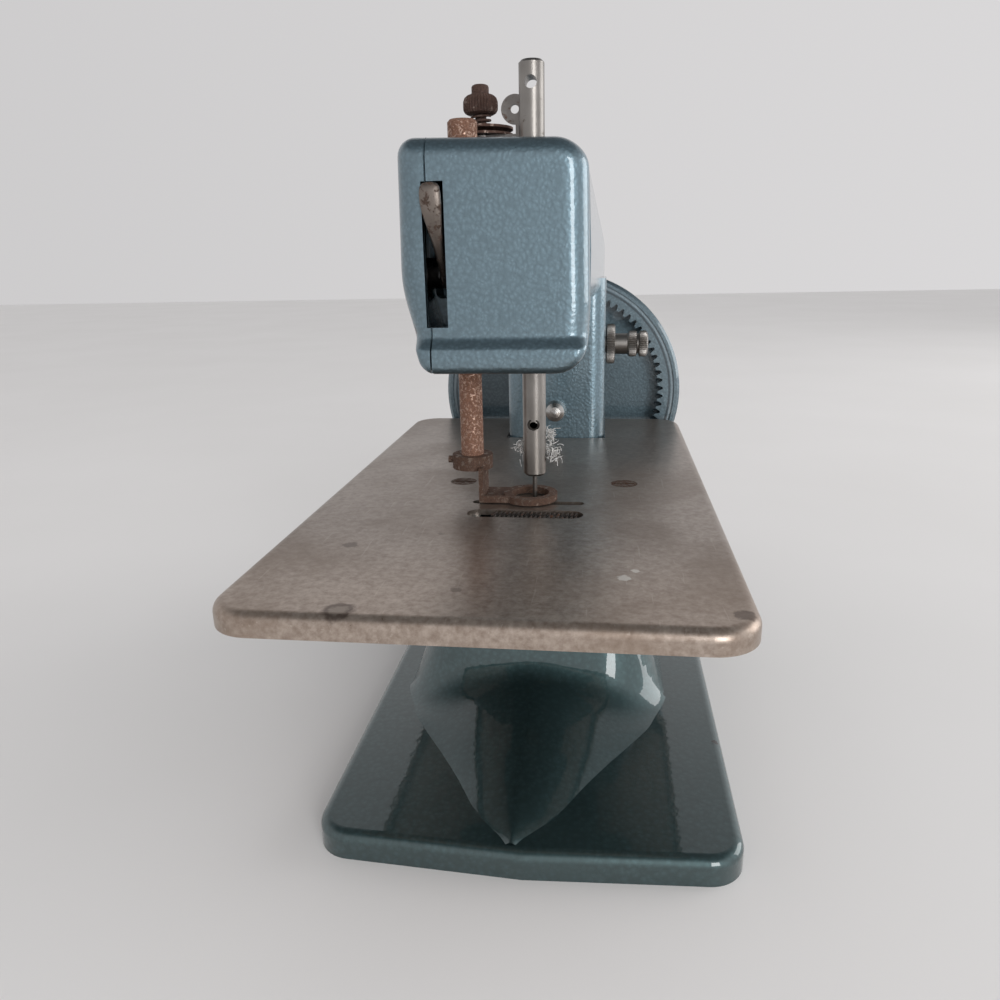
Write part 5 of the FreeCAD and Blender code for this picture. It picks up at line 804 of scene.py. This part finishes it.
nut_rows = [(182.2, 1.7, 0), (182.2, 3.5, 0), (182.6, 4.2, 0.1), (183.3, 4.6, 0.42),
            (184.3, 4.65, 0.42), (185.4, 4.6, 0.42), (186.2, 4.3, 0.3), (186.8, 3.6, 0.1),
            (187.1, 2.7, 0), (187.4, 2.3, 0), (188.8, 2.3, 0), (189.2, 2.1, 0), (189.4, 1.7, 0)]
knurled_nut = turned("knurled_tension_nut", nut_rows, (-16, -15, 0), (0, 0, 1), rusty_nut,
                     NUT_TEETH)
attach(knurled_nut, "tension_nut")
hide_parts("tension_nut")

# %% [markdown]
# ## The face of the head
# The head's face is one soft pressed-looking form: broad rounded edges, and a chin that comes
# forward in a double curve above the bottom edge. The paint mirrors the dark ceiling in the
# upper edge and in the hollow above the chin, and those two dark bands give the face its shape.
# The skin is a height over a grid that follows the outline. A thin cut then parts it along the
# seam of the cover, and a longer one opens the slot of the lifter.

# %% The outline of the face
FACE_LOW, FACE_HIGH = 117.28, 174.12
BEND_STEPS = 10


def rounded_outline(corners, radii):
    """A closed line through corners rounded by their radii, as points in the x-z plane."""
    points = []
    for index, corner in enumerate(corners):
        here = Vector(corner)
        before = (Vector(corners[index - 1]) - here).normalized()
        after = (Vector(corners[(index + 1) % len(corners)]) - here).normalized()
        half_turn = before.angle(after) / 2
        back = radii[index] / math.tan(half_turn)
        centre = here + (before + after).normalized() * (radii[index] / math.sin(half_turn))
        start = here + before * back - centre
        end = here + after * back - centre
        sweep = start.angle_signed(end)
        for step in range(BEND_STEPS + 1):
            turn = -sweep * step / BEND_STEPS
            points.append(centre + Vector((start.x * math.cos(turn) - start.y * math.sin(turn),
                                           start.x * math.sin(turn) + start.y * math.cos(turn))))
    return points


face_corners = [(-28.54, FACE_LOW), (13.34, FACE_LOW), (14.12, 133.4), (13.34, FACE_HIGH),
                (-33.34, FACE_HIGH), (-34.12, 139.0)]
face_line = rounded_outline(face_corners, [4.6, 8.28, 36.8, 8.28, 4.6, 36.8])
face_edges = list(zip(face_line, face_line[1:] + face_line[:1]))
print("points in the outline:", len(face_line))


# %% Measures within the outline
SAME_LEVEL = 1e-4


def inside_by(spot):
    """Distance in mm from a spot to the outline."""
    best = 100.0
    for start, end in face_edges:
        run = end - start
        length = run.length_squared
        share = 0.0 if length == 0 else min(max((spot - start).dot(run) / length, 0.0), 1.0)
        best = min(best, (start + run * share - spot).length)
    return best


def row_ends(z):
    """Where a level row meets the outline on the left and the right."""
    meets = []
    for start, end in face_edges:
        low_end, high_end = min(start.y, end.y), max(start.y, end.y)
        if low_end - SAME_LEVEL <= z <= high_end + SAME_LEVEL:
            if high_end - low_end < SAME_LEVEL:
                meets += [start.x, end.x]
            else:
                meets.append(start.x + (end.x - start.x) * (z - start.y) / (end.y - start.y))
    return min(meets), max(meets)


def soft_step(value):
    """Rises from zero to one with a level start and end."""
    value = min(max(value, 0.0), 1.0)
    return value * value * (3 - 2 * value)


print("the face ends at", [round(end, 2) for end in row_ends(145.0)], "halfway up")

# %% Rows for the face, closer together at the edges and on the chin
FACE_ROWS = 36
FACE_COLUMNS = 34
edge_steps = [0, 0.06, 0.22, 0.5, 0.9, 1.4, 2.0, 2.8, 3.7, 4.8, 6.0]
edge = edge_steps[-1]

face_rows = [FACE_LOW + step for step in edge_steps]
face_rows += [FACE_LOW + edge + 0.45 * step for step in range(1, 11)]
span = FACE_HIGH - edge - face_rows[-1]
face_rows += [face_rows[-1] + span * step / FACE_ROWS for step in range(1, FACE_ROWS)]
face_rows += [FACE_HIGH - step for step in reversed(edge_steps)]
print("face rows:", len(face_rows))

# %% Raise the face over the grid
FACE_Y = -43.75
CHIN_TOP, CHIN_RUN, CHIN_REACH = 127.0, 4.3, 2.5
EDGE_ROUND, CHIN_ROUND = 5.35, 2.1
FALL, FALL_FROM, FALL_RUN = 1.3, 163.6, 10.5

face = bmesh.new()
face_grid = []
for z in face_rows:
    left, right = row_ends(z)
    places = [left + step for step in edge_steps]
    places += [left + edge + (right - left - 2 * edge) * step / FACE_COLUMNS
               for step in range(1, FACE_COLUMNS)]
    places += [right - step for step in reversed(edge_steps)]
    chin = soft_step((CHIN_TOP - z) / CHIN_RUN)
    rounding = EDGE_ROUND * (1 - chin) + CHIN_ROUND * chin
    row = []
    for x in places:
        off = min(inside_by(Vector((x, z))), rounding)
        back = rounding - math.sqrt(max(rounding ** 2 - (rounding - off) ** 2, 0))
        y = FACE_Y - CHIN_REACH * chin + back
        fall = FALL * soft_step((z - FALL_FROM) / FALL_RUN) * (x + 33.2) / 46.4
        row.append(face.verts.new((x * MM, y * MM, (z - fall) * MM)))
    face_grid.append(row)
for lower, upper in zip(face_grid, face_grid[1:]):
    for column in range(len(lower) - 1):
        face.faces.new((lower[column], lower[column + 1], upper[column + 1], upper[column]))
print("face grid:", len(face_grid), "by", len(face_grid[0]))

# %% Cut the seam and the slot
slot_left, slot_right, slot_low, slot_high = -27.0, -21.5, 128.9, 163.6
seam_left, seam_right = -26.05, -25.62
for place, direction in [(slot_left, "x"), (slot_right, "x"), (seam_left, "x"),
                         (seam_right, "x"), (slot_low, "z"), (slot_high, "z")]:
    plane_spot = Vector((place * MM, 0, 0)) if direction == "x" else Vector((0, 0, place * MM))
    plane_way = Vector((1, 0, 0)) if direction == "x" else Vector((0, 0, 1))
    everything = face.verts[:] + face.edges[:] + face.faces[:]
    bmesh.ops.bisect_plane(face, geom=everything, dist=1e-7, plane_co=plane_spot,
                           plane_no=plane_way)
opened = []
for piece in face.faces:
    middle = piece.calc_center_median() / MM
    in_seam = seam_left < middle.x < seam_right
    in_slot = slot_left < middle.x < slot_right and slot_low < middle.z < slot_high
    if in_seam or in_slot:
        opened.append(piece)
bmesh.ops.delete(face, geom=opened, context="FACES")
print("faces cut out:", len(opened))

# %% Give every edge of the face some depth
RIM_DEPTH, RIM_END = 1.3, -42.2

rims = [edge for edge in face.edges if edge.is_boundary]
walls = bmesh.ops.extrude_edge_only(face, edges=rims)["geom"]
for corner in walls:
    if isinstance(corner, bmesh.types.BMVert):
        corner.co.y = max(corner.co.y + RIM_DEPTH * MM, RIM_END * MM)
bmesh.ops.remove_doubles(face, verts=face.verts, dist=1e-7)
bmesh.ops.recalc_face_normals(face, faces=face.faces)
head_face = placed("head_face", face, arm_paint, 40)
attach(head_face, "frame")
print("head face:", len(head_face.data.polygons), "faces")

# %% [markdown]
# ## Thumb screw and lock disc
# The stitch length screw has two knurled rings with a groove between them for thumb and finger,
# and a thin knurled disc that locks it against the column. Fine straight knurling catches the
# light as rows of bright dots, so it's modelled tooth by tooth like the tension nut's.

# %% Turn the stitch length screw
SCREW_TEETH, DISC_TEETH = 38, 52

low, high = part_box("stitch_length_screw")
screw_middle = (0, (low[1] + high[1]) / 2 / MM, (low[2] + high[2]) / 2 / MM)
screw_start = low[0] / MM
screw_rows = [(screw_start, 1.6, 0), (screw_start, 2.6, 0), (screw_start + 0.5, 3.1, 0),
              (19.0, 3.1, 0), (19.3, 3.9, 0), (26.5, 3.9, 0), (26.8, 4.3, 0), (27.2, 4.75, 0.2),
              (27.6, 4.9, 0.42), (29.5, 4.9, 0.42), (29.9, 4.75, 0.2), (30.1, 4.2, 0),
              (30.3, 3.7, 0), (30.7, 3.7, 0), (30.9, 4.3, 0), (31.2, 4.75, 0.2),
              (31.6, 4.9, 0.42), (33.2, 4.9, 0.42), (33.8, 4.6, 0.25), (34.2, 3.9, 0),
              (34.4, 2.4, 0)]
thumb_screw = turned("stitch_thumb_screw", screw_rows, screw_middle, (1, 0, 0), dull_nickel,
                     SCREW_TEETH)
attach(thumb_screw, "stitch_screw")
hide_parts("stitch_length_screw")
print("thumb screw starts at", round(screw_start, 2), "mm")

# %% Turn its lock disc
low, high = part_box("stitch_lock_disc")
disc_low, disc_high = low[0] / MM, high[0] / MM
lock_rows = [(disc_low, 3.95, 0), (disc_low, 6.6, 0), (disc_low + 0.3, 7.3, 0.25),
             (disc_low + 0.8, 7.5, 0.5), (disc_high - 0.8, 7.5, 0.5),
             (disc_high - 0.3, 7.3, 0.25), (disc_high, 6.6, 0), (disc_high, 3.95, 0)]
lock_disc = turned("knurled_lock_disc", lock_rows, screw_middle, (1, 0, 0), dull_nickel,
                   DISC_TEETH)
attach(lock_disc, "stitch_lock")
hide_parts("stitch_lock_disc")
print("lock disc from", round(disc_low, 2), "to", round(disc_high, 2), "mm")

# %% [markdown]
# ## The lifter's finger
# The lever that raises the presser is bent from flat bar. Its tip was rounded and dished for a
# fingertip, and from there it narrows and sweeps back into the slot to its pivot. A swept oval
# gives the finger, and a flat plate behind it has the pivot's eye and the cam nose.

# %% A swept oval and a flat plate
OVAL_SIDES = 20


def swept(mesh, path):
    """Rings of flattened ovals along rows of (x, y, z, half width, half thickness) in mm."""
    rings = []
    for index, (x, y, z, wide, thick) in enumerate(path):
        after = path[min(index + 1, len(path) - 1)]
        before = path[max(index - 1, 0)]
        way = Vector((0, after[1] - before[1], after[2] - before[2])).normalized()
        across = Vector((1, 0, 0))
        outward = across.cross(way)
        ring_verts = []
        for side in range(OVAL_SIDES):
            turn = 2 * math.pi * side / OVAL_SIDES
            wave = math.cos(turn)
            rise = math.sin(turn)
            flat = math.copysign(abs(wave) ** 0.7, wave) * wide
            proud = math.copysign(abs(rise) ** 0.8, rise) * thick
            spot = Vector((x, y, z)) + across * flat + outward * proud
            ring_verts.append(mesh.verts.new(spot * MM))
        rings.append(ring_verts)
    for lower, upper in zip(rings, rings[1:]):
        for side in range(OVAL_SIDES):
            after = (side + 1) % OVAL_SIDES
            mesh.faces.new((lower[side], lower[after], upper[after], upper[side]))
    mesh.faces.new(reversed(rings[0]))
    mesh.faces.new(rings[-1])


def flat_plate(mesh, outline, near, far):
    """A plate between two x places from an outline of (y, z) spots in mm."""
    first = [mesh.verts.new((near * MM, y * MM, z * MM)) for y, z in outline]
    second = [mesh.verts.new((far * MM, y * MM, z * MM)) for y, z in outline]
    mesh.faces.new(first)
    mesh.faces.new(reversed(second))
    for index in range(len(outline)):
        after = (index + 1) % len(outline)
        mesh.faces.new((first[after], first[index], second[index], second[after]))


# %% The way from fingertip to pivot
low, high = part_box("lifter_lever")
tip_y, tip_z = low[1] / MM, high[2] / MM
pivot_y, pivot_z = tip_y + 16.6, tip_z - 20.7
finger_path = [(-24.45, tip_y + 0.95, tip_z + 0.35, 1.2, 0.35),
               (-24.45, tip_y + 0.75, tip_z + 0.15, 1.9, 0.65),
               (-24.45, tip_y + 0.55, tip_z - 0.5, 2.4, 0.9),
               (-24.45, tip_y + 0.5, tip_z - 1.8, 2.65, 1.0),
               (-24.4, tip_y + 0.7, tip_z - 4.0, 2.65, 1.0),
               (-24.3, tip_y + 1.1, tip_z - 6.2, 2.45, 0.95),
               (-24.1, tip_y + 1.9, tip_z - 8.6, 2.05, 0.9),
               (-23.9, tip_y + 3.1, tip_z - 11.2, 1.65, 0.9),
               (-23.7, tip_y + 4.7, tip_z - 13.8, 1.35, 1.0),
               (-23.6, tip_y + 6.8, tip_z - 16.4, 1.2, 1.3),
               (-23.6, tip_y + 9.6, tip_z - 18.6, 1.2, 1.9),
               (-23.6, pivot_y - 3.5, pivot_z + 0.6, 1.2, 2.8),
               (-23.6, pivot_y, pivot_z, 1.2, 3.6)]
print("finger tip at", round(tip_y, 2), round(tip_z, 2), "pivot at", round(pivot_y, 2))

# %% Build the finger, its eye and its cam nose
finger = bmesh.new()
swept(finger, finger_path)
eye = [(pivot_y + 4 * math.cos(turn / 16 * math.pi), pivot_z + 4 * math.sin(turn / 16 * math.pi))
       for turn in range(-12, 20)]
flat_plate(finger, eye, -24.8, -22.4)
nose = [(pivot_y - 3.0, pivot_z - 2.6), (pivot_y + 7.6, pivot_z + 0.2),
        (pivot_y + 8.3, pivot_z + 1.4), (pivot_y + 7.8, pivot_z + 3.1),
        (pivot_y - 1.0, pivot_z + 3.9)]
flat_plate(finger, nose, -24.79, -22.41)
bmesh.ops.recalc_face_normals(finger, faces=finger.faces)
lifter_finish = plated_steel("browned_lifter", (0.25, 0.215, 0.19), 0.34, 0.34,
                             ((0.040, 0.026, 0.020), (0.105, 0.066, 0.048)), 520)
lifter_finger = placed("lifter_finger", finger, lifter_finish, 42)
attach(lifter_finger, "lifter")
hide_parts("lifter_lever")
print("finger faces:", len(lifter_finger.data.polygons))

# %% [markdown]
# ## Small traces of use
# The thread hole low on the needle bar has a worn countersink, which shows as a dark ring. A few
# tufts of white lint cling to the bar where cloth has rubbed past it. Lint is thin bent fibres,
# far finer than anything else here, so each tuft is a few dozen of them in random directions.

# %% A worn ring round the thread hole
ring_rows = [(-0.5, 1.02, 0), (0.0, 1.05, 0), (0.16, 1.2, 0), (0.18, 1.45, 0), (0.06, 1.68, 0),
             (-0.5, 1.72, 0)]
ring_finish = plated_steel("blackened_ring", (0.060, 0.055, 0.050), 0.3, 0.4,
                           ((0.020, 0.014, 0.012), (0.05, 0.035, 0.028)), 900)
hole_ring = turned("thread_hole_ring", ring_rows, (-1.0, -32.95, 101.8), (0, -1, 0), ring_finish)
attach(hole_ring, "needle")
print("ring faces:", len(hole_ring.data.polygons))

# %% The finish of lint
lint_finish, tree, shader = fresh_finish("white_lint")
where = add(tree, "TexCoord").outputs["Object"]
fluff = noise(tree, where, 1800, 3, 0.6)
join(tree, ramp(tree, fluff, [(0.3, (0.62, 0.60, 0.57)), (0.7, (0.86, 0.85, 0.83))]),
     shader.inputs["Base Color"])
join(tree, between(tree, fluff, 0.2, 0.8, 0.8, 0.95), shader.inputs["Roughness"])
join(tree, bump(tree, fluff, 0.00003, 0.4), shader.inputs["Normal"])
shader.inputs["Subsurface Weight"].default_value = 0.15
print("lint finish:", lint_finish.name)


# %% Tufts of lint
FIBRE_STEP = 0.42
FIBRE_STEPS = 6
FIBRE_CORNERS = (0, 2.1, 4.2)


def fibre_tuft(mesh, centre, spread, count):
    """Short bent three-sided fibres round a centre, in mm."""
    for number in range(count):
        spot = Vector(centre) + Vector([random.gauss(0, part) for part in spread])
        way = Vector([random.gauss(0, 1) for part in range(3)]).normalized()
        bend = Vector([random.gauss(0, 1) for part in range(3)]).normalized()
        thick = random.uniform(0.06, 0.11)
        last = None
        for step in range(FIBRE_STEPS):
            side = way.orthogonal().normalized()
            other = way.cross(side)
            loop = []
            for turn in FIBRE_CORNERS:
                outward = (side * math.cos(turn) + other * math.sin(turn)) * thick
                loop.append(mesh.verts.new((spot + outward) * MM))
            if last:
                for index in range(3):
                    after = (index + 1) % 3
                    mesh.faces.new((last[index], last[after], loop[after], loop[index]))
            last = loop
            spot = spot + way * FIBRE_STEP
            way = (way + bend * 0.45).normalized()


# each tuft: its middle, how far its fibres spread, and their number
tufts = [((-4.7, -29.3, 94.2), (0.5, 0.4, 1.3), 60), ((3.0, -28.6, 98.0), (0.8, 0.4, 0.9), 60),
         ((3.6, -28.6, 94.6), (0.8, 0.4, 1.5), 60), ((4.4, -28.8, 92.0), (0.7, 0.4, 0.6), 30)]
lint = bmesh.new()
for middle, spread, count in tufts:
    fibre_tuft(lint, middle, spread, count)
lint_tufts = placed("lint_tufts", lint, lint_finish)
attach(lint_tufts, "needle")
print("lint fibres:", sum(count for middle, spread, count in tufts))
